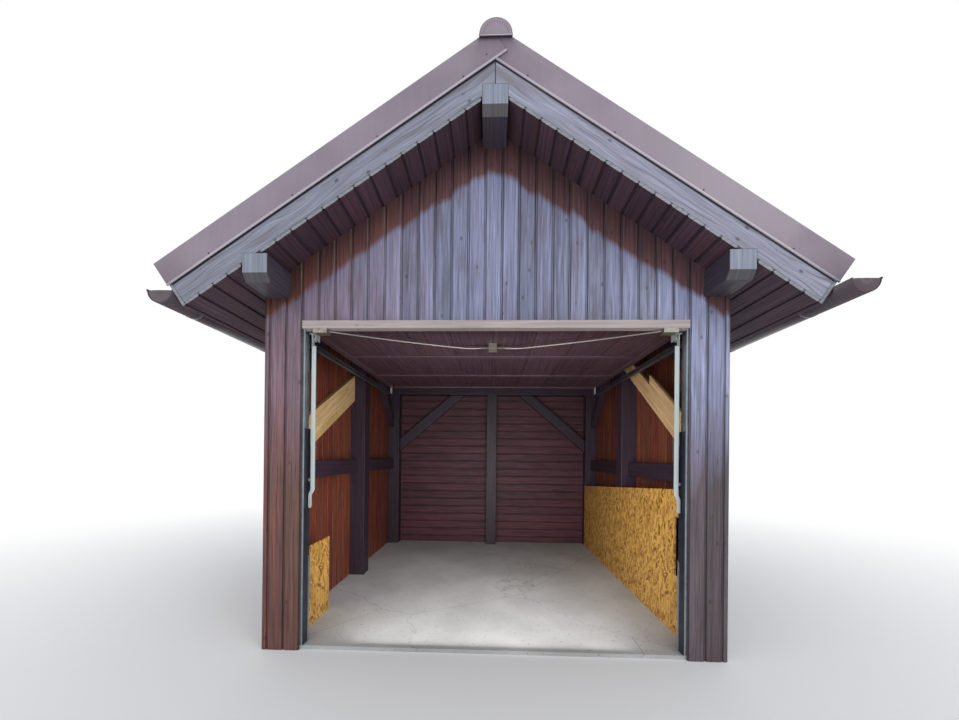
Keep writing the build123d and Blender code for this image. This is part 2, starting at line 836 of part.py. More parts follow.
# Lifting arms: angle section from the leaf pin down, with a stub that meets the boss on the cover,
# cranked outward below it to the spring lever
half_arm = arm_depth / 2
arm_top = pin_open_z + half_arm
arm_foot = pivot_z - lever_reach
crank_top = pivot_z - crank_drop
crank_foot = crank_top - crank_length
flange_top = pin_open_z - arm_flange_end
arm_front_y = pivot_y - half_arm
side_flange = [
    (lever_outer_x, arm_foot),
    (lever_outer_x, crank_foot),
    (arm_outer_x, crank_top),
    (arm_outer_x, arm_top),
    (arm_outer_x - arm_wall, arm_top),
    (arm_outer_x - arm_wall, crank_top),
    (lever_outer_x - arm_wall, crank_foot),
    (lever_outer_x - arm_wall, arm_foot),
]
front_flange = [
    (lever_outer_x - arm_wall, arm_foot),
    (lever_outer_x - arm_wall, crank_foot),
    (arm_outer_x - arm_wall, crank_top),
    (arm_outer_x - arm_wall, flange_top),
    (arm_outer_x - arm_width, flange_top),
    (arm_outer_x - arm_width, crank_top),
    (lever_outer_x - lever_width, crank_foot),
    (lever_outer_x - lever_width, arm_foot),
]
for side, name in ((-1, "arm_left"), (1, "arm_right")):
    with BuildPart() as arm:
        prism_along_y(mirrored(side_flange, side), arm_front_y, arm_front_y + arm_depth)
        prism_along_y(mirrored(front_flange, side), arm_front_y, arm_front_y + arm_wall)
        rod_along_x(pivot_y, pivot_z, stub_radius, side * arm_outer_x, side * lever_outer_x)
        start, end = side * (arm_outer_x - 2 * arm_wall), side * (arm_outer_x + arm_wall)
        rod_along_x(pivot_y, pin_open_z, pin_radius + pin_clearance, start, end, mode=Mode.SUBTRACT)
    save(arm, name)
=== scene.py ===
"""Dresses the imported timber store: boards, roof, gutters, door gear, finishes and a plain studio."""
import json
from functools import partial
from math import cos, pi, radians, sin, tan

import bmesh
import bpy
import numpy as np
from mathutils import Matrix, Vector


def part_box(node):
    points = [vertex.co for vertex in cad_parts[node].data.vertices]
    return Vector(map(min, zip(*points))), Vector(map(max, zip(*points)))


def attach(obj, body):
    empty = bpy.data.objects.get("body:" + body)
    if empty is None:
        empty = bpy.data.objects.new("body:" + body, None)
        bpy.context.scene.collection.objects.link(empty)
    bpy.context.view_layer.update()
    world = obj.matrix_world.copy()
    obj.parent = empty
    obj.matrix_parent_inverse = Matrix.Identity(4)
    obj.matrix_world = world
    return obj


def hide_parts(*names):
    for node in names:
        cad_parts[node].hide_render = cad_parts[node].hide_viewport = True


bl_info = {
    "name": "Timber store with an up-and-over door",
    "version": (1, 0, 0),
    "blender": (4, 5, 0),
    "location": "3D View > Sidebar > Timber store",
    "description": "Boards, roof metal, gutters, door gear and finishes of a timber store",
    "category": "Add Mesh",
}

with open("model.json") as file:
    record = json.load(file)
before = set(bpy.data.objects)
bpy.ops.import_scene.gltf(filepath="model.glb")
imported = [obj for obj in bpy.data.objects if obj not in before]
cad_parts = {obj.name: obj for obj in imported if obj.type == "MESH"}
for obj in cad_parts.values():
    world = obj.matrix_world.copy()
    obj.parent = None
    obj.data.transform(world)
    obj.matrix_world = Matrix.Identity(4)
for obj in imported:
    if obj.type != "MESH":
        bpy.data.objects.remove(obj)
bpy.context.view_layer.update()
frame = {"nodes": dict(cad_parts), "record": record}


def low(node):
    """Lowest corner of a CAD node."""
    return np.array(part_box(node)[0], float)


def high(node):
    """Highest corner of a CAD node."""
    return np.array(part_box(node)[1], float)


# Roof geometry in metres: heights above the rafters' underside are square to the slope
PITCH = radians(34)
COS, SIN, TAN = cos(PITCH), sin(PITCH), tan(PITCH)
RAFTER_DEPTH = 0.200
SOFFIT = 0.018
SHEET_LOW = 0.263
VERGE_TOP = 0.290
VERGE_FACE = 0.160
VERGE_LAP = 0.166
PURLIN_HEIGHT = 0.160
RIDGE = high("barge_rafters_front")[2] - RAFTER_DEPTH / COS
VERGE = high("purlins")[1]
EAVE = high("barge_rafters_front")[0] / COS - RAFTER_DEPTH * TAN
# Walls, doorway, boards and sheet metal
HALF_WIDTH = high("back_wall")[0]
WALL_BACK = high("back_wall")[1]
WALL_FRONT = low("front_gable")[1]
OPENING = high("front_gable")[0]
DOOR_HEAD = low("front_gable")[2]
PLATE_FOOT = high("back_wall")[2]
BOARD = 0.020
POST_BOARD = 0.107
LEAF_OUTER, LEAF_LINING, LINING_COVER, LINING_SHORT = 0.012, 0.009, 0.2925, 0.09
SHEET_METAL = 0.0012
# Square of how far, in metres, the line of the painted sky reflection is rounded off under the ridge
BLUNT_SQUARED = 0.0144
# Share of a timber's depth in its grain's second coordinate, so that no two faces match
DEPTH_SHARE = 1.37
SIDES = ((-1, "left"), (1, "right"))


def soffit_z(x):
    """Height of the soffit's underside at a distance x from the ridge line."""
    return RIDGE - TAN * np.abs(x) - SOFFIT / COS


def on_slope(side, along, y, above):
    """Points on one slope: along it from the ridge line, at y, and square above the rafters' underside."""
    along, y, above = np.broadcast_arrays(along, y, above)
    x = side * (along * COS + above * SIN)
    return np.stack([x, y, RIDGE - along * SIN + above * COS], -1)


def linear(code):
    """Linear colour of an sRGB hex code."""
    srgb = np.array([int(code[i:i + 2], 16) for i in (1, 3, 5)]) / 255
    rgb = np.where(srgb <= 0.04045, srgb / 12.92, ((srgb + 0.055) / 1.055) ** 2.4)
    return tuple(float(value) for value in rgb)


def colour(text, code):
    """Colour setting with its default from a hex code."""
    words = {"name": text, "description": text + " of the finish", "default": linear(code)}
    return bpy.props.FloatVectorProperty(subtype="COLOR", size=3, min=0.0, max=1.0, **words)


def length(text, about, metres):
    """Length setting in metres."""
    return bpy.props.FloatProperty(name=text, description=about, default=metres, min=0.0, unit="LENGTH")


class StoreSizes(bpy.types.PropertyGroup):
    """Sizes that the surface pieces are made from."""

    board_cover: length("Board cover", "Width that one tongue and groove board shows", 0.1087)
    slot_depth: length("Slot depth", "Depth of the joint between two boards", 0.007)
    arris: length("Arris", "Width from a joint's middle to the flat of the board", 0.0102)
    timber_edge: length("Timber edge", "Width of the worn edge on squared timber", 0.0035)
    tile_wave: length("Tile wave", "Width of one wave of the pressed tiles", 0.175)
    tile_depth: length("Tile depth", "Depth of the wave of the pressed tiles", 0.016)
    tile_rows: bpy.props.IntProperty(name="Tile rows", description="Rows on each slope", default=7, min=1)
    screw_pitch: length("Screw pitch", "Distance between two screws of a verge cover", 0.6)
    lining_fall: length("Lining fall", "Height that the right lining's top edge loses towards the back", 0.2)
    cord_radius: length("Cord radius", "Radius of the release cords", 0.004)
    steel_edge: length("Steel edge", "Outer radius of the arms' fold", 0.003)


class StoreColours(bpy.types.PropertyGroup):
    """Colours of the finishes, as they look in even light, except that the sky colours paint a reflection and its
    shade, and the gutter coating holds painted shade.
    """

    stain_pale: colour("Pale grain", "#9a4d31")
    stain_dark: colour("Dark grain", "#47241f")
    # Painted reflection of the sky on the outside boards, pale and dark, and the darker painted shade it turns into
    # towards the bottom
    sky_pale: colour("Pale reflection", "#9ea6ca")
    sky_dark: colour("Dark reflection", "#6a6e87")
    low_shade: colour("Shaded reflection", "#4f4547")
    frame_pale: colour("Pale frame grain", "#40303e")
    frame_dark: colour("Dark frame grain", "#261a27")
    grey_pale: colour("Pale silvered grain", "#a1a6bb")
    grey_dark: colour("Dark silvered grain", "#716d77")
    purlin_pale: colour("Pale purlin grain", "#534c5a")
    purlin_dark: colour("Dark purlin grain", "#36313c")
    new_pale: colour("Pale new wood", "#e6c497")
    new_dark: colour("Dark new wood", "#b38d59")
    leaf_pale: colour("Pale leaf grain", "#573e49")
    leaf_dark: colour("Dark leaf grain", "#33232f")
    rail_pale: colour("Pale rail grain", "#b9ada9")
    rail_dark: colour("Dark rail grain", "#94878a")
    roof_coat: colour("Roof coating", "#908390")
    # Darkened to hold the painted shade that the gutters hang in
    gutter_coat_shaded: colour("Gutter coating", "#52434c")
    arm_coat: colour("Arm coating", "#c9d4d1")
    cover_plastic: colour("Spring cover plastic", "#2a3140")
    cord_white: colour("Cord", "#c4bfb8")


def rgba(value):
    """Colour with its alpha for a node's socket."""
    return (*value, 1.0)


def feed(node, inputs):
    """Gives each input of a node a value, a colour by its hex code, a socket, or a node's first output in use."""
    for key, value in inputs.items():
        if isinstance(value, str):
            value = rgba(linear(value))
        if isinstance(value, bpy.types.Node):
            value = next(socket for socket in value.outputs if socket.enabled)
        if isinstance(value, bpy.types.NodeSocket):
            node.id_data.links.new(value, node.inputs[key])
        else:
            node.inputs[key].default_value = value


def add_node(tree, kind, inputs=None, **settings):
    """Adds a shader node of a kind: settings are its properties, and inputs are fed to its sockets."""
    node = tree.nodes.new("ShaderNode" + kind)
    for key, value in settings.items():
        setattr(node, key, value)
    feed(node, inputs or {})
    return node


def start_finish(name):
    """New material with only its shader: (material, the helper that adds nodes to it, shader)."""
    material = bpy.data.materials.new(name)
    material.use_nodes = True
    tree = material.node_tree
    tree.nodes.clear()
    add = partial(add_node, tree)
    shader = add("BsdfPrincipled")
    add("OutputMaterial", {"Surface": shader})
    return material, add, shader


# Finishes

def sky_reflection_and_shade(add, wood, sky_tints, place, board, both, cloud):
    """Painted reflection of the sky, pale and bluish, on the outside of the wood, with painted shade above and below
    it.

    The painted reflection starts below a line in the painted shade under the soffit, blunt under the ridge and ragged
    with the grain.
    It is weaker on the left side as painted shade, paler on the right side as painted light, and turns darker and
    browner towards the bottom as painted shade.
    """
    x, y, z = place
    x_out = add("Math", {0: x}, operation="ABSOLUTE")
    y_out = add("Math", {0: y}, operation="ABSOLUTE")
    reach = add("Math", {0: x_out, 1: y_out}, operation="MAXIMUM")
    outside = add("Math", {0: reach, 1: WALL_BACK - BOARD / 2}, operation="GREATER_THAN")
    blunt = add("Math", {0: x, 1: x, 2: BLUNT_SQUARED}, operation="MULTIPLY_ADD")
    blunt = add("Math", {0: blunt}, operation="SQRT")
    roof = add("Math", {0: blunt, 1: -TAN, 2: RIDGE}, operation="MULTIPLY_ADD")
    below = add("Math", {0: roof, 1: z}, operation="SUBTRACT")
    # Painted shade under the soffit: the wood gets darker towards it
    soffit_shade = add("MapRange", {"Value": below, "From Min": 0.03, "From Max": 0.5, "To Min": 0.3})
    wood = add("HueSaturation", {"Color": wood, "Value": soffit_shade})
    own = below
    for value, share in ((both, 0.02), (board, 0.04), (cloud, 0.08)):
        own = add("Math", {0: value, 1: share, 2: own}, operation="MULTIPLY_ADD")
    # Band where the painted sky reflection shows, below a ragged line
    sky_band = add("MapRange", {"Value": own, "From Min": 0.285, "From Max": 0.33, "To Min": 0.1})
    # Painted shade on the left side: less of the painted reflection there
    shade_left = add("MapRange", {"Value": x, "From Min": -1.5, "From Max": -0.3, "To Min": 0.34, "To Max": 0.93})
    # Mask of the painted sky reflection
    worn = add("Math", {0: sky_band, 1: outside}, operation="MULTIPLY")
    worn = add("Math", {0: worn, 1: shade_left}, operation="MULTIPLY")
    soft = add("MapRange", {"Value": both, "From Min": 0.55, "From Max": 0.97})
    # Colour of the painted sky reflection
    sky_colour = add("Mix", {0: soft, 6: rgba(sky_tints[1]), 7: rgba(sky_tints[0])}, data_type="RGBA")
    # Painted light on the right side: the painted reflection is paler there
    lit_right = add("MapRange", {"Value": x, "From Min": 0.5, "From Max": 1.45, "To Min": 1.0, "To Max": 1.4})
    sky_colour = add("HueSaturation", {"Color": sky_colour, "Value": lit_right})
    # Painted shade towards the bottom: the painted reflection turns darker and browner below about 2.2 m
    height = add("Math", {0: cloud, 1: 0.9, 2: z}, operation="MULTIPLY_ADD")
    bottom_shade_mix = add("MapRange", {"Value": height, "From Min": 2.2, "From Max": 1.55, "To Max": 0.94})
    shaded = add("MapRange", {"Value": both, "From Min": 0.5, "From Max": 1.0, "To Min": 0.6, "To Max": 1.5})
    low_shade = add("HueSaturation", {"Color": rgba(sky_tints[2]), "Value": shaded})
    sky_colour = add("Mix", {0: bottom_shade_mix, 6: sky_colour, 7: low_shade}, data_type="RGBA")
    return add("Mix", {0: worn, 6: wood, 7: sky_colour}, data_type="RGBA")


def spruce(name, pale, dark, axis=None, sky_tints=None, cut="#8d8a7c", patch="#5a3a30", slant="#565156",
           gloss=0.45, knots=0.5, fleck=0.0, shadow_above=0.0, wavy=0.03):
    """Planed or sawn spruce under a glaze that lets its grain and knots show.

    Late wood lies in uneven wavy streaks about 16 mm apart, with finer lines drawn 4 mm apart, coarser than
    real fibres, so that they show. Knots are dark and about 16 mm across. Each board has its own shade and hue, and
    slow patches along a board are where the glaze wore or soaked in. Joints hold dirt, and faces cut at a slant
    stay in their own damp shade. When sky tints are given, the outside gets a painted reflection of the sky, with
    painted shade under the soffit and towards the bottom. Wood higher than a given height over the rafters'
    underside, square to the slope, gets a dark painted shadow of the verge cover.
    """
    material, add, shader = start_finish(name)
    where = add("TexCoord")
    place = add("SeparateXYZ", {0: where.outputs["Object"]})
    if axis is None:
        grain = add("UVMap", uv_map="grain")
    else:
        run, side, depth = (place.outputs[(axis + i) % 3] for i in range(3))
        across = add("Math", {0: depth, 1: DEPTH_SHARE, 2: side}, operation="MULTIPLY_ADD")
        grain = add("CombineXYZ", {0: run, 1: across})
    bend = add("Mapping", {"Vector": grain, "Scale": (1.4, 6.0, 1.0)})
    bend = add("TexNoise", {"Vector": bend, "Scale": 1.0, "Detail": 2.0}, noise_dimensions="2D")
    bend = add("Math", {0: bend, 1: wavy}, operation="MULTIPLY")
    bend = add("CombineXYZ", {1: bend})
    lines = add("VectorMath", {0: grain, 1: bend}, operation="ADD")
    wide = add("Mapping", {"Vector": lines, "Scale": (1.4, 62.0, 1.0)})
    thin = add("Mapping", {"Vector": lines, "Scale": (4.0, 230.0, 1.0)})
    slow = add("Mapping", {"Vector": grain, "Scale": (2.2, 11.0, 1.0)})
    rings = {"Vector": wide, "Scale": 1.0, "Detail": 6.0, "Roughness": 0.72, "Distortion": 0.4}
    streak = add("TexNoise", rings, noise_dimensions="2D")
    fibre = add("TexNoise", {"Vector": thin, "Scale": 1.0, "Detail": 2.0}, noise_dimensions="2D")
    cloud = add("TexNoise", {"Vector": slow, "Scale": 1.0, "Detail": 4.0}, noise_dimensions="2D")
    both = add("Math", {0: fibre, 1: 0.45, 2: streak}, operation="MULTIPLY_ADD")
    band = add("MapRange", {"Value": both, "From Min": 0.52, "From Max": 0.94})
    wood = add("Mix", {0: band, 6: rgba(dark), 7: rgba(pale)}, data_type="RGBA")
    board = add("Attribute", attribute_name="tone").outputs["Fac"]
    if sky_tints:
        wood = sky_reflection_and_shade(add, wood, sky_tints, place.outputs, board, both, cloud)
    # Painted shadow of the verge cover: a dark strip on the wood above the given height
    if shadow_above:
        x_out = add("Math", {0: place.outputs[0]}, operation="ABSOLUTE")
        over = add("Math", {0: x_out, 1: TAN, 2: place.outputs[2]}, operation="MULTIPLY_ADD")
        edge = RIDGE + shadow_above / COS
        cover_shadow_mix = {"Value": over, "From Min": edge - 0.002, "From Max": edge + 0.002, "To Max": 0.9}
        cover_shadow_mix = add("MapRange", cover_shadow_mix)
        wood = add("Mix", {0: cover_shadow_mix, 6: wood, 7: "#1a1418"}, data_type="RGBA")
    spread = add("MapRange", {"Value": cloud, "From Min": 0.52, "From Max": 0.8, "To Max": 0.55})
    wood = add("Mix", {0: spread, 6: wood, 7: patch}, data_type="RGBA")
    if knots:
        cells = add("Mapping", {"Vector": grain, "Scale": (5.5, 9.0, 1.0)})
        knot = add("TexVoronoi", {"Vector": cells, "Scale": 1.0}, voronoi_dimensions="2D")
        spot = add("MapRange", {"Value": knot.outputs["Distance"], "From Min": 0.1, "From Max": 0.04})
        some = add("SeparateColor", {0: knot.outputs["Color"]})
        chosen = add("MapRange", {"Value": some, "From Min": 0.72, "From Max": 0.86, "To Max": knots})
        factor = add("Math", {0: spot, 1: chosen}, operation="MULTIPLY")
        knot_colour = rgba([value * 0.4 for value in dark])
        wood = add("Mix", {0: factor, 6: wood, 7: knot_colour}, data_type="RGBA")
    if fleck:
        dots = add("TexNoise", {"Vector": where.outputs["Object"], "Scale": 55.0, "Detail": 3.0})
        bright = add("MapRange", {"Value": dots, "From Min": 0.66, "From Max": 0.74, "To Max": fleck})
        wood = add("Mix", {0: bright, 6: wood, 7: "#a89a94"}, data_type="RGBA")
    shade = add("MapRange", {"Value": board, "To Min": 0.82, "To Max": 1.2})
    other = add("Math", {0: board, 1: 7.3}, operation="MULTIPLY")
    other = add("Math", {0: other}, operation="FRACT")
    hue = add("MapRange", {"Value": other, "To Min": 0.492, "To Max": 0.51})
    wood = add("HueSaturation", {"Color": wood, "Value": shade, "Hue": hue})
    end = add("Attribute", attribute_name="cut").outputs["Fac"]
    square = add("MapRange", {"Value": end, "From Min": 0.5, "From Max": 0.9})
    sawn = add("Mix", {0: square, 6: slant, 7: cut}, data_type="RGBA")
    saw = add("MapRange", {"Value": both, "From Min": 0.5, "From Max": 1.0, "To Min": 0.66, "To Max": 1.3})
    sawn = add("HueSaturation", {"Color": sawn, "Value": saw})
    any_cut = add("MapRange", {"Value": end, "From Min": 0.1, "From Max": 0.3})
    wood = add("Mix", {0: any_cut, 6: wood, 7: sawn}, data_type="RGBA")
    joint = add("Attribute", attribute_name="joint")
    dirt = add("Math", {0: joint.outputs["Fac"], 1: 0.8}, operation="MULTIPLY")
    wood = add("Mix", {0: dirt, 6: wood, 7: "#1c1418"}, data_type="RGBA")
    polish = {"Value": both, "From Min": 0.5, "From Max": 1.0, "To Min": gloss + 0.16, "To Max": gloss - 0.05}
    rough = add("MapRange", polish)
    bump = add("Bump", {"Height": both, "Strength": 0.3, "Distance": 0.002})
    feed(shader, {"Base Color": wood, "Roughness": rough, "Normal": bump})
    return material


def coated_steel(name, coat, roughness=0.42, fade=0.16, metallic=0.0):
    """Polyester-coated steel sheet: a fine even grain, faint rain streaks and slow fading over the sheet.

    Marked folded lips get a pale painted highlight, and pressed dimples are darker.
    """
    material, add, shader = start_finish(name)
    where = add("TexCoord").outputs["Object"]
    slow = add("TexNoise", {"Vector": where, "Scale": 2.2, "Detail": 4.0})
    runs = add("Mapping", {"Vector": where, "Scale": (40.0, 40.0, 3.0)})
    streak = add("TexNoise", {"Vector": runs, "Scale": 1.0, "Detail": 3.0})
    grain = add("TexNoise", {"Vector": where, "Scale": 700.0, "Detail": 1.0})
    mixed = add("Math", {0: streak, 1: 0.25, 2: slow}, operation="MULTIPLY_ADD")
    swing = {"Value": mixed, "From Min": 0.4, "From Max": 0.85, "To Min": 1 - fade, "To Max": 1 + fade}
    value = add("MapRange", swing)
    warm = add("MapRange", {"Value": mixed, "From Min": 0.4, "From Max": 0.85, "To Min": 0.49, "To Max": 0.51})
    paint = add("HueSaturation", {"Color": rgba(coat), "Value": value, "Hue": warm})
    # Painted highlight: faces marked as cut, the folded lips, turn pale
    worn = add("Attribute", attribute_name="cut").outputs["Fac"]
    sunk = add("Attribute", attribute_name="joint").outputs["Fac"]
    worn = add("Math", {0: worn, 1: 0.45}, operation="MULTIPLY")
    # Faces marked as joint, the pressed dimples, are drawn darker
    sunk = add("Math", {0: sunk, 1: 0.75}, operation="MULTIPLY")
    paint = add("Mix", {0: worn, 6: paint, 7: "#e6dfe8"}, data_type="RGBA")
    paint = add("Mix", {0: sunk, 6: paint, 7: "#2a2028"}, data_type="RGBA")
    rough = add("MapRange", {"Value": mixed, "From Min": 0.4, "To Min": roughness - 0.08, "To Max": roughness + 0.12})
    bump = add("Bump", {"Height": grain, "Strength": 0.06, "Distance": 0.0006})
    feed(shader, {"Base Color": paint, "Metallic": metallic, "Roughness": rough, "Normal": bump})
    return material


def galvanised_steel(name, dark="#868f98", pale="#c2cbd2", rust=0.0):
    """Hot-dip galvanised sheet: dull zinc with spangles about 12 mm across that differ a little in shade.

    Small zinc-plated fittings take rust in patches about 30 mm across where the plating wore off.
    """
    material, add, shader = start_finish(name)
    where = add("TexCoord").outputs["Object"]
    spangle = add("TexVoronoi", {"Vector": where, "Scale": 85.0})
    part = add("SeparateColor", {0: spangle.outputs["Color"]})
    dull = add("TexNoise", {"Vector": where, "Scale": 6.0, "Detail": 5.0})
    sum_ = add("Math", {0: part, 1: 0.3, 2: dull}, operation="MULTIPLY_ADD")
    zinc = add("Mix", {0: sum_, 6: dark, 7: pale}, data_type="RGBA")
    rough = add("MapRange", {"Value": sum_, "To Min": 0.38, "To Max": 0.6})
    metal = 0.85
    if rust:
        eaten = add("TexNoise", {"Vector": where, "Scale": 38.0, "Detail": 6.0, "Roughness": 0.7})
        amount = add("MapRange", {"Value": eaten, "From Min": 0.5, "From Max": 0.68, "To Max": rust})
        metal = add("MapRange", {"Value": amount, "To Min": metal, "To Max": 0.1})
        zinc = add("Mix", {0: amount, 6: zinc, 7: "#6a4a35"}, data_type="RGBA")
    feed(shader, {"Base Color": zinc, "Metallic": metal, "Roughness": rough})
    return material


def moulded_plastic(name, tint):
    """Moulded dark plastic with a fine matt grain and dust in its hollows."""
    material, add, shader = start_finish(name)
    where = add("TexCoord").outputs["Object"]
    dust = add("TexNoise", {"Vector": where, "Scale": 9.0, "Detail": 6.0, "Roughness": 0.7})
    grain = add("TexNoise", {"Vector": where, "Scale": 900.0})
    amount = add("MapRange", {"Value": dust, "From Min": 0.45, "From Max": 0.8, "To Max": 0.35})
    shade = add("Mix", {0: amount, 6: rgba(tint), 7: "#6a6468"}, data_type="RGBA")
    rough = add("MapRange", {"Value": dust, "To Min": 0.36, "To Max": 0.62})
    bump = add("Bump", {"Height": grain, "Strength": 0.15, "Distance": 0.0004})
    feed(shader, {"Base Color": shade, "Roughness": rough, "Normal": bump})
    return material


def strand_board(name):
    """Oriented strand board: pressed flakes about 45 mm by 14 mm with resin gloss, more of them upright."""
    material, add, shader = start_finish(name)
    place = add("SeparateXYZ", {0: add("TexCoord").outputs["Object"]})
    flat = add("CombineXYZ", {0: place.outputs[1], 1: place.outputs[2]})
    base = "#86571f"
    height = None
    for turn, shift in ((128, 0.0), (40, 3.1), (84, 7.7)):
        turned = add("VectorRotate", {"Vector": flat, "Angle": radians(turn)}, rotation_type="Z_AXIS")
        scaled = add("Mapping", {"Vector": turned, "Location": (shift, shift, 0.0), "Scale": (22.0, 72.0, 1.0)})
        flake = add("TexVoronoi", {"Vector": scaled, "Scale": 1.0}, voronoi_dimensions="2D")
        pick = add("SeparateColor", {0: flake.outputs["Color"]})
        shown = add("Math", {0: pick.outputs[0], 1: 0.5}, operation="GREATER_THAN")
        grain = add("TexNoise", {"Vector": scaled, "Scale": 6.0, "Detail": 2.0}, noise_dimensions="2D")
        light = add("Math", {0: grain, 1: 0.45, 2: pick.outputs[1]}, operation="MULTIPLY_ADD")
        wood = add("Mix", {0: light, 6: "#8d5c22", 7: "#dcab58"}, data_type="RGBA")
        base = add("Mix", {0: shown, 6: base, 7: wood}, data_type="RGBA")
        layer = add("Math", {0: shown, 1: pick.outputs[2]}, operation="MULTIPLY")
        height = layer if height is None else add("Math", {0: height, 1: layer}, operation="ADD")
    bump = add("Bump", {"Height": height, "Strength": 0.4, "Distance": 0.0012})
    rough = add("MapRange", {"Value": height, "From Max": 2.0, "To Min": 0.42, "To Max": 0.66})
    feed(shader, {"Base Color": base, "Roughness": rough, "Normal": bump})
    return material


def trowelled_concrete(name):
    """Trowelled concrete: pale cement with sand grain about 4 mm across, dusty patches, specks and fine cracks."""
    material, add, shader = start_finish(name)
    where = add("TexCoord").outputs["Object"]
    patch = add("TexNoise", {"Vector": where, "Scale": 1.3, "Detail": 9.0, "Roughness": 0.6})
    sand = add("TexNoise", {"Vector": where, "Scale": 240.0, "Detail": 2.0})
    mixed = add("Math", {0: sand, 1: 0.35, 2: patch}, operation="MULTIPLY_ADD")
    factor = add("MapRange", {"Value": mixed, "From Min": 0.4, "From Max": 0.95})
    stone = add("Mix", {0: factor, 6: "#a1a09f", 7: "#cfcfce"}, data_type="RGBA")
    speck = add("TexNoise", {"Vector": where, "Scale": 48.0, "Detail": 4.0})
    speck = add("MapRange", {"Value": speck, "From Min": 0.63, "From Max": 0.72, "To Max": 0.55})
    stone = add("Mix", {0: speck, 6: stone, 7: "#5d5652"}, data_type="RGBA")
    lost = add("Math", {0: patch, 1: 0.5}, operation="MULTIPLY")
    bent = add("VectorMath", {0: where, 1: lost}, operation="ADD")
    crack = add("TexVoronoi", {"Vector": bent, "Scale": 0.6}, feature="DISTANCE_TO_EDGE")
    crack = add("MapRange", {"Value": crack, "From Min": 0.0005, "From Max": 0.003, "To Min": 0.35, "To Max": 0.0})
    stone = add("Mix", {0: crack, 6: stone, 7: "#4c4642"}, data_type="RGBA")
    bump = add("Bump", {"Height": mixed, "Strength": 0.3, "Distance": 0.002})
    feed(shader, {"Base Color": stone, "Roughness": 0.86, "Normal": bump})
    return material


def braided_cord(name, tint):
    """Braided cord: slanting strands 12 mm long in its own UV, with grime between them."""
    material, add, shader = start_finish(name)
    grain = add("UVMap", uv_map="grain")
    slant = add("Mapping", {"Vector": grain, "Rotation": (0.0, 0.0, radians(35))})
    strand = add("TexWave", {"Vector": slant, "Scale": 26.0, "Distortion": 0.3})
    fibre = add("Mix", {0: strand, 6: rgba([value * 0.55 for value in tint]), 7: rgba(tint)}, data_type="RGBA")
    bump = add("Bump", {"Height": strand, "Strength": 0.5, "Distance": 0.0008})
    feed(shader, {"Base Color": fibre, "Roughness": 0.82, "Normal": bump})
    return material


finishes = {}


def make_finishes(c):
    """Every finish of the store by its slot from the colours c, and close kin for parts of the same material; the
    back wall, soffit and track kin are darker copies that hold painted shade.
    """
    # Colours of the painted sky reflection and of its painted shade towards the bottom
    sky_tints = (c.sky_pale, c.sky_dark, c.low_shade)
    leaf = {"cut": "#5e4a48", "patch": "#4b3529"}
    pale = {"cut": "#b5aaa6", "patch": "#a3978f", "gloss": 0.62, "knots": 0.4}
    finishes.update({
        "stained_boards": spruce("stained_spruce_boards", c.stain_pale, c.stain_dark, sky_tints=sky_tints, gloss=0.38),
        # Darker, purpler copy of the stained boards for the back wall and gable: painted shade of the store's far end
        "shaded_back_boards": spruce("stained_spruce_back_shaded", linear("#6c3846"), linear("#341c26"), sky_tints=sky_tints, gloss=0.55),
        # Darker, purpler copy for the soffit and fascias: painted shade under the roof
        "soffit_boards": spruce("stained_spruce_soffit_shaded", linear("#5e4350"), linear("#382b37"), cut="#8d9097"),
        "frame_timber": spruce("stained_spruce_frame", c.frame_pale, c.frame_dark, patch="#3d2a2a"),
        "hidden_timber": spruce("sawn_spruce_hidden", c.frame_pale, c.frame_dark, axis=0, patch="#3d2a2a"),
        "upright_timber": spruce("stained_spruce_upright", c.frame_pale, c.frame_dark, axis=2, patch="#3d2a2a"),
        "purlin_timber": spruce("stained_spruce_purlins", c.purlin_pale, c.purlin_dark, cut="#8b93a3",
                                patch="#4a4038"),
        # The barges get a painted shadow line under the verge cover
        "weathered_timber": spruce("silvered_spruce", c.grey_pale, c.grey_dark, cut="#8b93a3", slant="#8b93a3",
                                   patch="#77706f", gloss=0.62, knots=0.85, shadow_above=0.121, wavy=0.09),
        "new_timber": spruce("planed_new_spruce", c.new_pale, c.new_dark, cut="#c9a77a", patch="#b58d55",
                             gloss=0.5, knots=0.7),
        "leaf_timber": spruce("stained_leaf_boards", c.leaf_pale, c.leaf_dark, fleck=0.5, **leaf),
        "pale_timber": spruce("weathered_pale_spruce", c.rail_pale, c.rail_dark, **pale),
        "roof_metal": coated_steel("coated_steel_roof", c.roof_coat),
        # The gutter coating holds painted shade
        "gutter_metal": coated_steel("coated_steel_gutter", c.gutter_coat_shaded, roughness=0.3),
        "screw_steel": coated_steel("coated_steel_screws", linear("#453840"), roughness=0.4),
        "white_steel": coated_steel("powder_coated_steel", c.arm_coat, roughness=0.34, fade=0.08),
        "galvanised_steel": galvanised_steel("galvanised_steel"),
        # Darker copy of the galvanised steel for the tracks: painted shade of their inner face
        "shaded_track_steel": galvanised_steel("galvanised_track_shaded", dark="#4d4a51", pale="#7d7a82"),
        "plated_steel": galvanised_steel("rusting_zinc_plate", dark="#86857c", pale="#aeaca2", rust=0.8),
        "black_plastic": moulded_plastic("moulded_dark_plastic", c.cover_plastic),
        "strand_board": strand_board("oriented_strand_board"),
        "concrete": trowelled_concrete("trowelled_concrete"),
        "white_cord": braided_cord("braided_cord", c.cord_white),
    })


# Mesh parts: each is (points, quads, uv of each point, marks of each quad: board shade, end grain and joint); on
# steel, the end grain mark puts a painted highlight on folded lips and the joint mark draws dimples darker

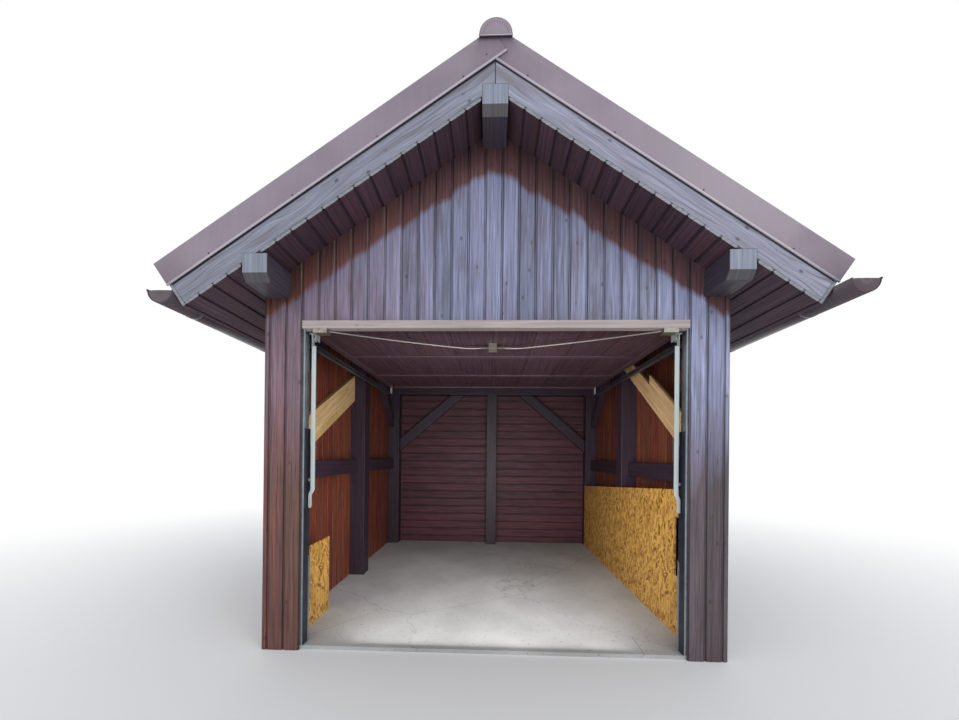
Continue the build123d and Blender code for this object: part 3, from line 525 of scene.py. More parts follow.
def join(*parts):
    """One part out of several."""
    shift = np.cumsum([0] + [len(part[0]) for part in parts[:-1]])
    quads = np.concatenate([part[1] + offset for part, offset in zip(parts, shift)])
    points, uv, marks = (np.concatenate([part[i] for part in parts]) for i in (0, 2, 3))
    return points, quads, uv, marks


def flip(part, turned):
    """Part with its faces turned the other way, or as it is."""
    points, quads, uv, marks = part
    return points, quads[:, ::-1] if turned else quads, uv, marks


def lattice(index):
    """Quads of a grid of point numbers, row by row."""
    return np.stack([index[:-1, :-1], index[1:, :-1], index[1:, 1:], index[:-1, 1:]], -1).reshape(-1, 4)


def surface(points, uv=None):
    """Part from a grid of points (rows, columns, 3)."""
    rows, columns = points.shape[:2]
    quads = lattice(np.arange(rows * columns).reshape(rows, columns))
    if uv is None:
        uv = np.zeros((rows, columns, 2))
    return points.reshape(-1, 3), quads, uv.reshape(-1, 2), np.tile((0.5, 0.0, 0.0), (len(quads), 1))


def sweep(profile, origins, p_axis, q_axis, close=False):
    """Profile (k, 2) carried along a path of n origins: point = origin + p * p_axis + q * q_axis.

    The axes are one for the whole path or one for each origin. The part's uv is the distance along the path
    and the distance round the profile.
    """
    profile = np.asarray(profile, float)
    origins = np.asarray(origins, float)
    if close:
        profile = np.vstack([profile, profile[:1]])
    p_axis, q_axis = (np.broadcast_to(np.asarray(axis, float), origins.shape) for axis in (p_axis, q_axis))
    points = origins[:, None] + profile[None, :, :1] * p_axis[:, None] + profile[None, :, 1:] * q_axis[:, None]
    along = np.concatenate([[0], np.cumsum(np.linalg.norm(np.diff(origins, axis=0), axis=1))])
    around = np.concatenate([[0], np.cumsum(np.linalg.norm(np.diff(profile, axis=0), axis=1))])
    uv = np.stack(np.meshgrid(along, around, indexing="ij"), -1)
    return surface(points, uv)


def lathe(centres, axis, side_axis, outline, sides=12):
    """Round part at each centre: outline (k, 2) is distance along the axis and radius, turned about the axis."""
    axis, side_axis = np.asarray(axis, float), np.asarray(side_axis, float)
    third = np.cross(axis, side_axis)
    outline = np.asarray(outline, float)
    turn = np.linspace(0, 2 * pi, sides + 1)
    ring = np.cos(turn)[:, None] * side_axis + np.sin(turn)[:, None] * third
    shape = outline[:, None, :1] * axis + outline[:, None, 1:] * ring[None]
    return join(*[surface(shape + np.asarray(centre)) for centre in centres])


def board_run(origin, across, outward, along, edges, starts, ends, sizes, thickness=BOARD, seed=1):
    """Tongue and groove boards side by side in one plane.

    edges, starts and ends are (n, 2): each board's sides along `across`, and its cuts along `along` at those
    sides. Its section is eleven pairs of points, from the tongue in the slot over a sloping edge to the flat
    and back, with d the depth: point = origin + a * across + s * along + d * outward. Each board leans by up
    to 0.7 mm, and dirt hides its tongue more or less.
    """
    rng = np.random.default_rng(seed)
    origin, across, outward, along = (np.asarray(v, float) for v in (origin, across, outward, along))
    edges, starts, ends = (np.asarray(v, float) for v in (edges, starts, ends))
    n = len(edges)
    depth = min(sizes.slot_depth, 0.4 * thickness)
    inset = sizes.arris * depth / sizes.slot_depth * np.array([0.0, 0.42, 0.46, 0.76, 1.0])
    sunk = depth * np.array([1.0, 1.0, 0.62, 0.3, 0.0])
    a = np.concatenate([edges[:, :1] + inset, edges.mean(1, keepdims=True), edges[:, 1:] - inset[::-1]], 1)
    fall = np.concatenate([sunk, [-0.0003], sunk[::-1]])
    share = (a - edges[:, :1]) / (edges[:, 1:] - edges[:, :1])
    lean = rng.uniform(-0.0007, 0.0007, (n, 1)) * (share - 0.5)
    face = np.broadcast_to(-fall, a.shape) + lean - 0.0004
    d = np.stack([face, -thickness - face], 1)
    s = np.stack([starts[:, :1] + share * np.diff(starts), ends[:, :1] + share * np.diff(ends)], 1)
    a4, s4, d4 = np.broadcast_arrays(a[:, None, None], s[:, :, None], d[:, None])
    points = origin + a4[..., None] * across + s4[..., None] * along + d4[..., None] * outward
    shift = rng.uniform(0, 40, (n, 1, 1, 1, 2))
    uv = np.stack([s4, a4 + d4], -1) + shift
    k = a.shape[1]
    index = np.arange(n * 4 * k).reshape(n, 2, 2, k)
    front, back = index[:, :, 0], index[:, :, 1]
    slot = np.tile([0.0, 1.0, 1.0, 0.3, 0.0, 0.0, 0.3, 1.0, 1.0, 0.0], (n, 1))
    slot[:, [0, -1]] = rng.uniform(0.0, 0.5, (n, 1))
    faces, cut, joint = [], [], []
    for grid, is_cut, dirt in (
        (front, 0, slot), (back[:, :, ::-1], 0, slot), (index[:, ::-1, :, 0], 0, 1), (index[:, :, :, -1], 0, 1),
        (index[:, 0, ::-1], 1, 0), (index[:, 1], 1, 0),
    ):
        quads = np.stack([grid[:, :-1, :-1], grid[:, :-1, 1:], grid[:, 1:, 1:], grid[:, 1:, :-1]], -1)
        faces.append(quads.reshape(n, -1, 4))
        cut.append(np.full(faces[-1].shape[:2], float(is_cut)))
        joint.append(np.broadcast_to(dirt, faces[-1].shape[:2]))
    faces, cut, joint = (np.concatenate(rows, 1) for rows in (faces, cut, joint))
    if np.dot(np.cross(across, along), outward) < 0:
        faces = faces[..., ::-1]
    tone = np.broadcast_to(rng.uniform(0, 1, (n, 1)), cut.shape)
    marks = np.stack([tone, cut, joint], -1)
    return points.reshape(-1, 3), faces.reshape(-1, 4), uv.reshape(-1, 2), marks.reshape(-1, 3)


def even_edges(first, last, cover):
    """Sides of equal boards as near to the cover width as fills the run."""
    lines = np.linspace(first, last, max(1, round(abs(last - first) / cover)) + 1)
    return np.stack([lines[:-1], lines[1:]], 1)


def make_piece(name, part, slot, body="frame", stands_for=(), finish=None, smooth=False, weld=False, shell=0.0):
    """Makes the mesh object of a part, with its uv and marks, its finish (by its slot, unless a finish is named) and
    body.
    """
    points, quads, uv, marks = part
    mesh = bpy.data.meshes.new(name)
    mesh.from_pydata(points, [], quads)
    layer = mesh.uv_layers.new(name="grain")
    layer.data.foreach_set("uv", uv[quads.ravel()].astype(np.float32).ravel())
    for label, values in zip(("tone", "cut", "joint"), marks.T):
        mesh.attributes.new(label, "FLOAT", "FACE").data.foreach_set("value", values.astype(np.float32))
    if weld:
        work = bmesh.new()
        work.from_mesh(mesh)
        bmesh.ops.remove_doubles(work, verts=work.verts, dist=1e-6)
        bmesh.ops.dissolve_degenerate(work, edges=work.edges, dist=1e-7)
        bmesh.ops.recalc_face_normals(work, faces=work.faces)
        work.to_mesh(mesh)
        work.free()
    return finish_piece(name, mesh, slot, body, stands_for, finish, smooth, shell)


def finish_piece(name, mesh, slot, body, stands_for, finish, smooth=False, shell=0.0):
    """Puts a mesh into the scene with its finish and body, and hides the CAD nodes that it stands for."""
    if smooth:
        mesh.shade_smooth()
        mesh.set_sharp_from_angle(angle=radians(32))
    mesh.materials.append(finishes[finish or slot])
    piece = bpy.data.objects.new(name, mesh)
    bpy.context.scene.collection.objects.link(piece)
    if shell:
        wall = piece.modifiers.new("wall", "SOLIDIFY")
        wall.thickness = shell
        wall.offset = -1.0
    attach(piece, body)
    if stands_for:
        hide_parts(*stands_for)
    return piece


def dress_timber(name, nodes, slot, edge, body="frame", finish=None, seed=3):
    """Squared timbers with worn edges from CAD nodes: each timber's grain runs along its longest direction.

    The uv is the distance along that direction and the sum of the other two, so that the grain carries round
    a corner. Faces across the grain are end grain.
    """
    rng = np.random.default_rng(seed)
    work = bmesh.new()
    for node in nodes:
        work.from_mesh(frame["nodes"][node].data)
    bmesh.ops.remove_doubles(work, verts=work.verts, dist=1e-5)
    bmesh.ops.dissolve_limit(work, angle_limit=radians(1), verts=work.verts, edges=work.edges)
    grain = work.loops.layers.uv.new("grain")
    tone = work.faces.layers.float.new("tone")
    cut = work.faces.layers.float.new("cut")
    work.faces.index_update()
    work.faces.ensure_lookup_table()
    group = list(range(len(work.faces)))
    for first in range(len(group)):
        if group[first] != first:
            continue
        fringe = [first]
        while fringe:
            near = {face.index for edge_ in work.faces[fringe.pop()].edges for face in edge_.link_faces}
            fresh = [index for index in sorted(near) if index != first and group[index] != first]
            for index in fresh:
                group[index] = first
            fringe.extend(fresh)
    for first in sorted(set(group)):
        island = [face for face in work.faces if group[face.index] == first]
        spots = np.array([vertex.co for face in island for vertex in face.verts])
        middle = spots.mean(0)
        axes = np.linalg.svd(np.unique((spots - middle).round(5), axis=0))[2]
        shade, shift = rng.uniform(0, 1), rng.uniform(0, 40, 2)
        for face in island:
            face[tone] = shade
            square = float(np.dot(axes[0], face.normal) ** 2)
            face[cut] = square if square > 0.95 else 0.6 * square
            for loop in face.loops:
                run, wide, thick = axes @ (np.array(loop.vert.co) - middle)
                along, side = (0.6 * thick, wide) if square > 0.5 else (run, wide + DEPTH_SHARE * thick)
                loop[grain].uv = (along + shift[0], side + shift[1])
    mesh = bpy.data.meshes.new(name)
    work.to_mesh(mesh)
    work.free()
    piece = finish_piece(name, mesh, slot, body, nodes, finish)
    bevel = piece.modifiers.new("worn_edges", "BEVEL")
    bevel.width = edge
    bevel.segments = 2
    bevel.limit_method = "ANGLE"
    bevel.angle_limit = radians(25)
    return piece


# Operators, one for each group of pieces

class STORE_OT_finishes(bpy.types.Operator):
    """Make the finishes, and give each CAD node that stays visible its own"""

    bl_idname = "store.finishes"
    bl_label = "Finishes"

    def execute(self, context):
        make_finishes(context.scene.store_colours)
        # The tracks take the galvanised copy darkened with painted shade
        other = {"door_studs": "upright_timber", "tracks": "shaded_track_steel", "leaf_lock": "plated_steel"}
        for row in frame["record"]["subparts"]:
            node = frame["nodes"][row["node"]]
            name = other.get(row["node"], row["material_slot"])
            if name == "frame_timber" or name.endswith("boards"):
                name = "hidden_timber"
            node.data.materials.clear()
            node.data.materials.append(finishes[name])
        return {"FINISHED"}


class STORE_OT_wall_boards(bpy.types.Operator):
    """Board the walls, the gables and the clad posts"""

    bl_idname = "store.wall_boards"
    bl_label = "Wall boards"

    def execute(self, context):
        sizes = context.scene.store_sizes
        up, right = (0, 0, 1), (1, 0, 0)

        def upright(origin, across, outward, edges, foot, head, seed):
            foot = np.full(edges.shape, foot)
            return board_run(origin, across, outward, up, edges, foot, head, sizes, seed=seed)

        edges = even_edges(-OPENING, OPENING, sizes.board_cover)
        front = (0, WALL_FRONT, 0)
        gable = upright(front, right, (0, -1, 0), edges, DOOR_HEAD, soffit_z(edges), 11)
        make_piece("gable_boards_front", gable, "stained_boards", stands_for=("front_gable",))
        lines = np.array([OPENING, OPENING + POST_BOARD, OPENING + 2 * POST_BOARD, HALF_WIDTH])
        for side, name in SIDES:
            edges = side * np.stack([lines[:-1], lines[1:]], 1)
            edges.sort(axis=1)
            part = upright(front, right, (0, -1, 0), edges, 0.0, soffit_z(edges), 20 + side)
            make_piece("post_boards_" + name, part, "stained_boards", stands_for=("front_cladding_" + name,))
        edges = even_edges(-HALF_WIDTH, HALF_WIDTH, sizes.board_cover)
        back = upright((0, WALL_BACK, 0), right, (0, 1, 0), edges, PLATE_FOOT, soffit_z(edges), 13)
        # The back gable takes the copy darkened with painted shade
        make_piece("gable_boards_back", back, "stained_boards", stands_for=("back_gable",), finish="shaded_back_boards")
        edges = even_edges(0.0, PLATE_FOOT, sizes.board_cover)
        reach = np.full(edges.shape, HALF_WIDTH)
        back = board_run((0, WALL_BACK, 0), up, (0, 1, 0), right, edges, -reach, reach, sizes, seed=14)
        # The back wall takes the copy darkened with painted shade
        make_piece("back_wall_boards", back, "stained_boards", stands_for=("back_wall",), finish="shaded_back_boards")
        inner = WALL_BACK - BOARD
        for side, name in SIDES:
            edges = even_edges(-inner, inner, sizes.board_cover)
            head = np.full(edges.shape, soffit_z(HALF_WIDTH))
            part = upright((side * HALF_WIDTH, 0, 0), (0, 1, 0), (side, 0, 0), edges, 0.0, head, 16 + side)
            make_piece("side_boards_" + name, part, "stained_boards", stands_for=("side_wall_" + name,))
        return {"FINISHED"}


class STORE_OT_soffit(bpy.types.Operator):
    """Board the underside of the roof from the ridge purlin to the eaves"""

    bl_idname = "store.soffit"
    bl_label = "Soffit boards"

    def execute(self, context):
        sizes = context.scene.store_sizes
        inset = SOFFIT * SIN
        plate_outer = high("purlins")[0]
        plate_top = low("purlins")[2] + PURLIN_HEIGHT
        meets_plate = (RIDGE - SOFFIT / COS - plate_top) / TAN
        for side, name in SIDES:
            origin = on_slope(side, 0.0, 0.0, -SOFFIT)
            down = (side * COS, 0, -SIN)
            below = (-side * SIN, 0, -COS)
            runs = []
            for first, last in ((0.075, meets_plate), (plate_outer, EAVE * COS - inset)):
                edges = even_edges((first + inset) / COS, (last + inset) / COS, sizes.board_cover)
                reach = np.full(edges.shape, VERGE)
                runs.append(board_run(origin, down, below, (0, 1, 0), edges, -reach, reach, sizes,
                                      thickness=SOFFIT, seed=31 + side))
            nodes = ("soffit_boards_" + name,)
            # The soffit takes the copy darkened with painted shade
            make_piece("soffit_run_" + name, join(*runs), "stained_boards", stands_for=nodes, finish="soffit_boards")
        return {"FINISHED"}


class STORE_OT_timber_frame(bpy.types.Operator):
    """Square the posts, plates, rails, braces, rafters and struts, with worn edges"""

    bl_idname = "store.timber_frame"
    bl_label = "Timber frame"

    def execute(self, context):
        edge = context.scene.store_sizes.timber_edge
        dress_timber("frame_posts", ["side_posts", "back_centre_post"], "frame_timber", edge)
        dress_timber("frame_beams", ["lintel", "back_tie"], "frame_timber", edge)
        dress_timber("frame_rails", ["mid_rails", "knee_braces"], "frame_timber", edge)
        dress_timber("roof_purlins", ["purlins"], "weathered_timber", edge, finish="purlin_timber")
        dress_timber("barges_front", ["barge_rafters_front"], "weathered_timber", edge, seed=5)
        dress_timber("barges_back", ["barge_rafters_back"], "weathered_timber", edge, seed=6)
        # The fascias take the soffit's copy darkened with painted shade
        dress_timber("eave_fascias", ["fascias"], "stained_boards", edge, finish="soffit_boards")
        dress_timber("struts", ["new_struts"], "new_timber", edge * 0.6, seed=8)
        return {"FINISHED"}


class STORE_OT_linings(bpy.types.Operator):
    """Put in the strand board linings, the right one cut lower towards the back"""

    bl_idname = "store.linings"
    bl_label = "Linings"

    def execute(self, context):
        work = bmesh.new()
        work.from_mesh(frame["nodes"]["osb_linings"].data)
        bmesh.ops.remove_doubles(work, verts=work.verts, dist=1e-5)
        mesh = bpy.data.meshes.new("strand_linings")
        work.to_mesh(mesh)
        work.free()
        spots = np.empty(len(mesh.vertices) * 3)
        mesh.vertices.foreach_get("co", spots)
        x, y, z = spots.reshape(-1, 3).T
        top = high("osb_linings")[2] - 0.001
        z[(x > 0) & (y > 0) & (z > top)] -= context.scene.store_sizes.lining_fall
        mesh.vertices.foreach_set("co", spots)
        finish_piece("strand_linings", mesh, "strand_board", "frame", ("osb_linings",), None)
        return {"FINISHED"}


class STORE_OT_roof_tiles(bpy.types.Operator):
    """Lay the pressed tile sheets on both slopes"""

    bl_idname = "store.roof_tiles"
    bl_label = "Pressed tiles"

    def execute(self, context):
        """Height = sheet + rise of the row + wave: the wave is a cosine squared off, the row rises evenly to its
        nose and drops over its last 3 %, about 10 mm."""
        sizes = context.scene.store_sizes
        end = high("verge_front_right")[0] / COS - VERGE_TOP * TAN - 0.002
        top = -0.11
        row = (end - top) / sizes.tile_rows
        share = np.array([0.0, 0.12, 0.3, 0.5, 0.7, 0.9, 0.97, 0.99, 0.995, 1.0])
        lift = np.array([0.0, 0.12, 0.3, 0.5, 0.7, 0.9, 0.97, 0.93, 0.7, 0.0])
        along = top + (np.arange(sizes.tile_rows)[:, None] + share).ravel() * row
        rise = np.tile(lift, sizes.tile_rows) * (VERGE_TOP - SHEET_LOW + 0.0005 - sizes.tile_depth)
        y = np.linspace(-VERGE, VERGE, 12 * round(2 * VERGE / sizes.tile_wave) + 1)
        turn = np.cos(2 * pi * y / sizes.tile_wave)
        wave = np.tanh(1.6 * turn) / np.tanh(1.6) * sizes.tile_depth / 2
        above = SHEET_LOW - 0.0015 + sizes.tile_depth / 2 + rise[:, None] + wave
        for side, name in SIDES:
            points = on_slope(side, along[:, None], y[None, :], above)
            if side < 0:
                points = points[:, ::-1]
            part = surface(points)
            nodes = ("roof_sheet_" + name,)
            make_piece("tiles_" + name, part, "roof_metal", stands_for=nodes, smooth=True, shell=SHEET_METAL)
            # Eave flashing: from under the last tile over the batten's end, down the fascia, with a kicked-out drip
            fold = [(2.10, 0.2603), (EAVE + 0.001, 0.2603), (EAVE + 0.0145, 0.236), (EAVE + 0.0146, 0.151),
                    (EAVE + 0.0205, 0.144)]
            ends = on_slope(side, 0.0, np.array([-VERGE + 0.062, VERGE - 0.062]), 0.0)
            strip = sweep(fold, ends, (side * COS, 0, -SIN), (side * SIN, 0, COS))
            strip = flip(strip, side > 0)
            make_piece("eave_flashing_" + name, strip, "roof_metal", smooth=True, shell=0.001)
        return {"FINISHED"}


class STORE_OT_verges(bpy.types.Operator):
    """Fold the verge covers, with a hemmed drip lip and their screws"""

    bl_idname = "store.verges"
    bl_label = "Verge covers"

    def execute(self, context):
        sizes = context.scene.store_sizes
        for end, facing in (("front", -1), ("back", 1)):
            for side, name in SIDES:
                node = "verge_{}_{}".format(end, name)
                face_y = low(node)[1] if facing < 0 else high(node)[1]
                reach = high(node)[1] - low(node)[1]
                # The cover that laps over the other runs past the ridge
                laps = (side < 0) == (facing < 0)
                foot = (high(node)[0] if side > 0 else -low(node)[0]) / COS - VERGE_TOP * TAN
                bottom = VERGE_TOP - VERGE_FACE
                profile = [
                    (-reach, VERGE_TOP - 0.014), (-reach, VERGE_TOP - 0.001), (-reach + 0.001, VERGE_TOP),
                    (-0.006, VERGE_TOP), (-0.002, VERGE_TOP - 0.0006), (0.0, VERGE_TOP - 0.003),
                    (0.0, VERGE_TOP - 0.05), (0.0, bottom + 0.05), (0.0, bottom + 0.014),
                    (0.0025, bottom + 0.011), (0.0055, bottom + 0.0085), (0.006, bottom + 0.0025), (0.004, bottom),
                    (0.0, bottom + 0.0005),
                ]
                if laps:
                    starts = [on_slope(side, -VERGE_LAP, face_y, 0.0)]
                    axes = [on_slope(side, -VERGE_LAP, face_y, 1.0) - starts[0]]
                else:
                    starts = [np.array([0.0, face_y, RIDGE])]
                    axes = [np.array([0.0, 0.0, 1 / COS])]
                stations = np.linspace(0.35, foot, 6)
                starts += [on_slope(side, place, face_y, 0.0) for place in stations]
                axes += [on_slope(side, place, face_y, 1.0) - start for place, start in zip(stations, starts[1:])]
                part = sweep(profile, starts, (0, facing, 0), axes)
                # The hem's faces are marked for the steel's pale painted highlight
                part[3][:, 1] = np.tile(np.arange(len(profile) - 1) >= 8, len(starts) - 1)
                part = flip(part, side * facing > 0)
                make_piece("cover_{}_{}".format(end, name), part, "roof_metal", stands_for=(node,), smooth=True,
                           shell=0.0014)
                along = np.arange(0.12, foot - 0.05, sizes.screw_pitch)
                spots = [on_slope(side, place, face_y, bottom + 0.022) for place in along]
                spots += [on_slope(side, -0.06, face_y, bottom + 0.05)] if laps else []
                dome = [(0.0, 0.0055), (0.0022, 0.005), (0.0036, 0.003), (0.004, 0.0)]
                heads = lathe(spots, (0, facing, 0), (1, 0, 0), dome, sides=8)
                make_piece("cover_screws_{}_{}".format(end, name), heads, "roof_metal", finish="screw_steel",
                           smooth=True, weld=True)
        return {"FINISHED"}


class STORE_OT_ridge_cap(bpy.types.Operator):
    """Lay the half-round ridge cap, with its beads and dimpled end discs"""

    bl_idname = "store.ridge_cap"
    bl_label = "Ridge cap"

    def execute(self, context):
        """Radius of the cap = outer radius less 4 mm, plus a bead 4 mm high where two lengths meet; an end disc
        sinks in a ring of dimples."""
        bead, half_bead, end_margin = 0.004, 0.012, 0.02
        bottom, top = low("ridge_cap"), high("ridge_cap")
        radius = top[0] - 0.001
        centre = top[2] - top[0]
        turn = np.linspace(-0.06, pi + 0.06, 41)
        beads = np.linspace(bottom[1] + end_margin, top[1] - end_margin, 9)
        close = [place + np.linspace(-0.014, 0.014, 9) for place in beads]
        y = np.unique(np.concatenate([np.linspace(bottom[1], top[1], 49)] + close))
        y = y[(y >= bottom[1]) & (y <= top[1])]
        near = np.abs(y[:, None] - beads).min(1)
        size = radius - bead + bead * np.clip(1 - (near / half_bead) ** 2, 0, 1)
        points = np.stack([
            size[:, None] * np.cos(turn), np.broadcast_to(y[:, None], (len(y), len(turn))),
            centre + size[:, None] * np.sin(turn),
        ], -1)
        part = surface(points)
        make_piece("ridge_half_round", part, "roof_metal", stands_for=("ridge_cap",), smooth=True, shell=0.0015)
        skirts = []
        for side in (-1, 1):
            fold = [(-0.012, 0.004), (0.0, -0.009), (0.030, -0.012), (0.034, -0.016), (0.034, -0.030)]
            start = on_slope(side, radius / COS - VERGE_TOP * TAN, 0.0, VERGE_TOP)
            ends = start + [[0, 0.004 - VERGE, 0], [0, VERGE - 0.004, 0]]
            strip = sweep(fold, ends, (side * COS, 0, -SIN), (side * SIN, 0, COS))
            skirts.append(flip(strip, side > 0))
        make_piece("ridge_flanges", join(*skirts), "roof_metal", smooth=True, shell=SHEET_METAL)
        share = np.array([0.0, 0.2, 0.4, 0.55, 0.66, 0.72, 0.76, 0.8, 0.84, 0.9, 0.96, 1.0])
        dimples = 15
        turn = np.linspace(0, pi, dimples * 8 + 1)
        for facing, name in ((-1, "front"), (1, "back")):
            face = bottom[1] if facing < 0 else top[1]
            ring = np.exp(-((share - 0.76) / 0.035) ** 2)
            dimple = np.clip(np.cos(turn * 2 * dimples), 0, 1) ** 2
            sunk = 0.0035 * ring[:, None] * dimple + 0.0015 * (share[:, None] < 0.68)
            flat = np.broadcast_to(share[:, None] * (radius - 0.002), sunk.shape)
            x, z = flat * np.cos(turn), centre + flat * np.sin(turn)
            points = np.stack([x, face - facing * (0.001 + sunk), z], -1)
            if facing > 0:
                points = points[:, ::-1]
            disc = surface(points)
            # Faces in the ring of dimples are marked to be drawn darker
            marked = (0.5 * (ring[1:, None] * dimple[1:] + ring[:-1, None] * dimple[:-1]) > 0.35).astype(float)
            disc[3][:, 2] = (marked if facing < 0 else marked[:, ::-1]).ravel()
            lip = [(0.0, 0.001), (0.0, -0.005), (0.003, -0.008), (0.0035, -0.012), (0.0, -0.0125)]
            stations = np.array([[x_, face - facing * 0.001, centre] for x_ in (-radius, 0.0, radius)])
            skirt = sweep(lip, stations, (0, facing, 0), (0, 0, 1))
            skirt = flip(skirt, facing > 0)
            # The lip's middle faces are marked for the steel's pale painted highlight
            skirt[3][:, 1] = np.tile((0.0, 1.0, 1.0, 0.0), 2)
            make_piece("ridge_disc_" + name, join(disc, skirt), "roof_metal", smooth=True, shell=SHEET_METAL)
        return {"FINISHED"}


class STORE_OT_gutters(bpy.types.Operator):
    """Hang the half-round gutters, with rolled beads, closed ends and strap brackets"""

    bl_idname = "store.gutters"
    bl_label = "Gutters"

    def execute(self, context):
        """Section = half circle from the back edge to the front, then a bead rolled outward over 300 degrees."""
        radius, bead, bead_side, rim_drop = 0.0745, 0.0062, 0.0795, 0.006
        cap_inset, strap_radius, half_strap = 0.004, radius + 0.0028, 0.0125
        for side, name in SIDES:
            node = "gutter_" + name
            bottom, top = low(node), high(node)
            rim = top[2] - rim_drop
            middle = side * (max(abs(bottom[0]), abs(top[0])) - bead_side)
            arc = np.linspace(pi, 2 * pi, 33)
            trough = np.stack([radius * np.cos(arc), radius * np.sin(arc)], 1)
            roll = np.linspace(pi, pi - radians(300), 13)[1:]
            curl = np.stack([radius + bead + bead * np.cos(roll), bead * np.sin(roll)], 1)
            profile = np.vstack([[[-radius, 0.004]], trough, curl - [bead, 0.0]])
            stations = [(middle, y, rim) for y in np.linspace(bottom[1], top[1], 8)]
            part = sweep(profile, stations, (side, 0, 0), (0, 0, 1))
            part = flip(part, side > 0)
            make_piece("gutter_run_" + name, part, "gutter_metal", stands_for=(node,), smooth=True, shell=SHEET_METAL)
            caps = []
            share = np.array([0.0, 0.5, 0.85, 0.95, 1.0])
            dome = np.array([0.004, 0.0035, 0.002, 0.001, 0.0])
            for face, out in ((bottom[1] + cap_inset, -1), (top[1] - cap_inset, 1)):
                x = middle + side * share[:, None] * radius * np.cos(arc)
                z = rim + share[:, None] * radius * np.sin(arc)
                y = np.broadcast_to(face + out * dome[:, None] * 0.9, x.shape)
                caps.append(surface(np.stack([x, y, z], -1)))
            make_piece("gutter_ends_" + name, join(*caps), "gutter_metal", smooth=True, weld=True, shell=SHEET_METAL)
            straps = []
            around = np.linspace(radians(176), radians(358), 25)
            strap = strap_radius * np.stack([np.cos(around), np.sin(around)], 1)
            tail = [(-strap_radius, 0.03)]
            hook = [(radius + 0.003, 0.002), (radius + 0.0015, 0.0068), (radius - 0.006, 0.0075),
                    (radius - 0.0075, 0.003)]
            outline = np.vstack([tail, strap, hook])
            for y in np.linspace(-HALF_WIDTH, HALF_WIDTH, 5):
                ends = [(middle, y - half_strap, rim), (middle, y + half_strap, rim)]
                straps.append(sweep(outline, ends, (side, 0, 0), (0, 0, 1)))
            part = join(*straps)
            part = flip(part, side > 0)
            make_piece("gutter_straps_" + name, part, "gutter_metal", smooth=True, shell=-0.0025)
        return {"FINISHED"}


class STORE_OT_door_leaf(bpy.types.Operator):
    """Board the leaf outside, line it inside and square its frame"""

    bl_idname = "store.door_leaf"
    bl_label = "Door leaf"

    def execute(self, context):
        sizes = context.scene.store_sizes
        bottom, top = low("leaf_skins"), high("leaf_skins")
        edges = even_edges(bottom[0], top[0], sizes.board_cover)
        starts, ends = np.full(edges.shape, bottom[1]), np.full(edges.shape, top[1])
        outer = board_run((0, 0, top[2]), (1, 0, 0), (0, 0, 1), (0, 1, 0), edges, starts, ends, sizes,
                          thickness=LEAF_OUTER, seed=41)
        rib = high("leaf_ribs")[0]
        lining_end = high("leaf_ribs")[1] - LINING_SHORT
        edges = even_edges(-rib, rib, LINING_COVER)
        starts, ends = np.full(edges.shape, bottom[1]), np.full(edges.shape, lining_end)
        inner = board_run((0, 0, bottom[2]), (1, 0, 0), (0, 0, -1), (0, 1, 0), edges, starts, ends, sizes,
                          thickness=LEAF_LINING, seed=42)
        make_piece("leaf_boards", join(outer, inner), "leaf_timber", body="leaf", stands_for=("leaf_skins",))
        edge = sizes.timber_edge * 0.6
        dress_timber("leaf_frame", ["leaf_stiles", "leaf_ribs"], "leaf_timber", edge, body="leaf", seed=9)
        dress_timber("leaf_foot_rail", ["leaf_bottom_rail"], "pale_timber", edge, body="leaf", seed=10)
        return {"FINISHED"}


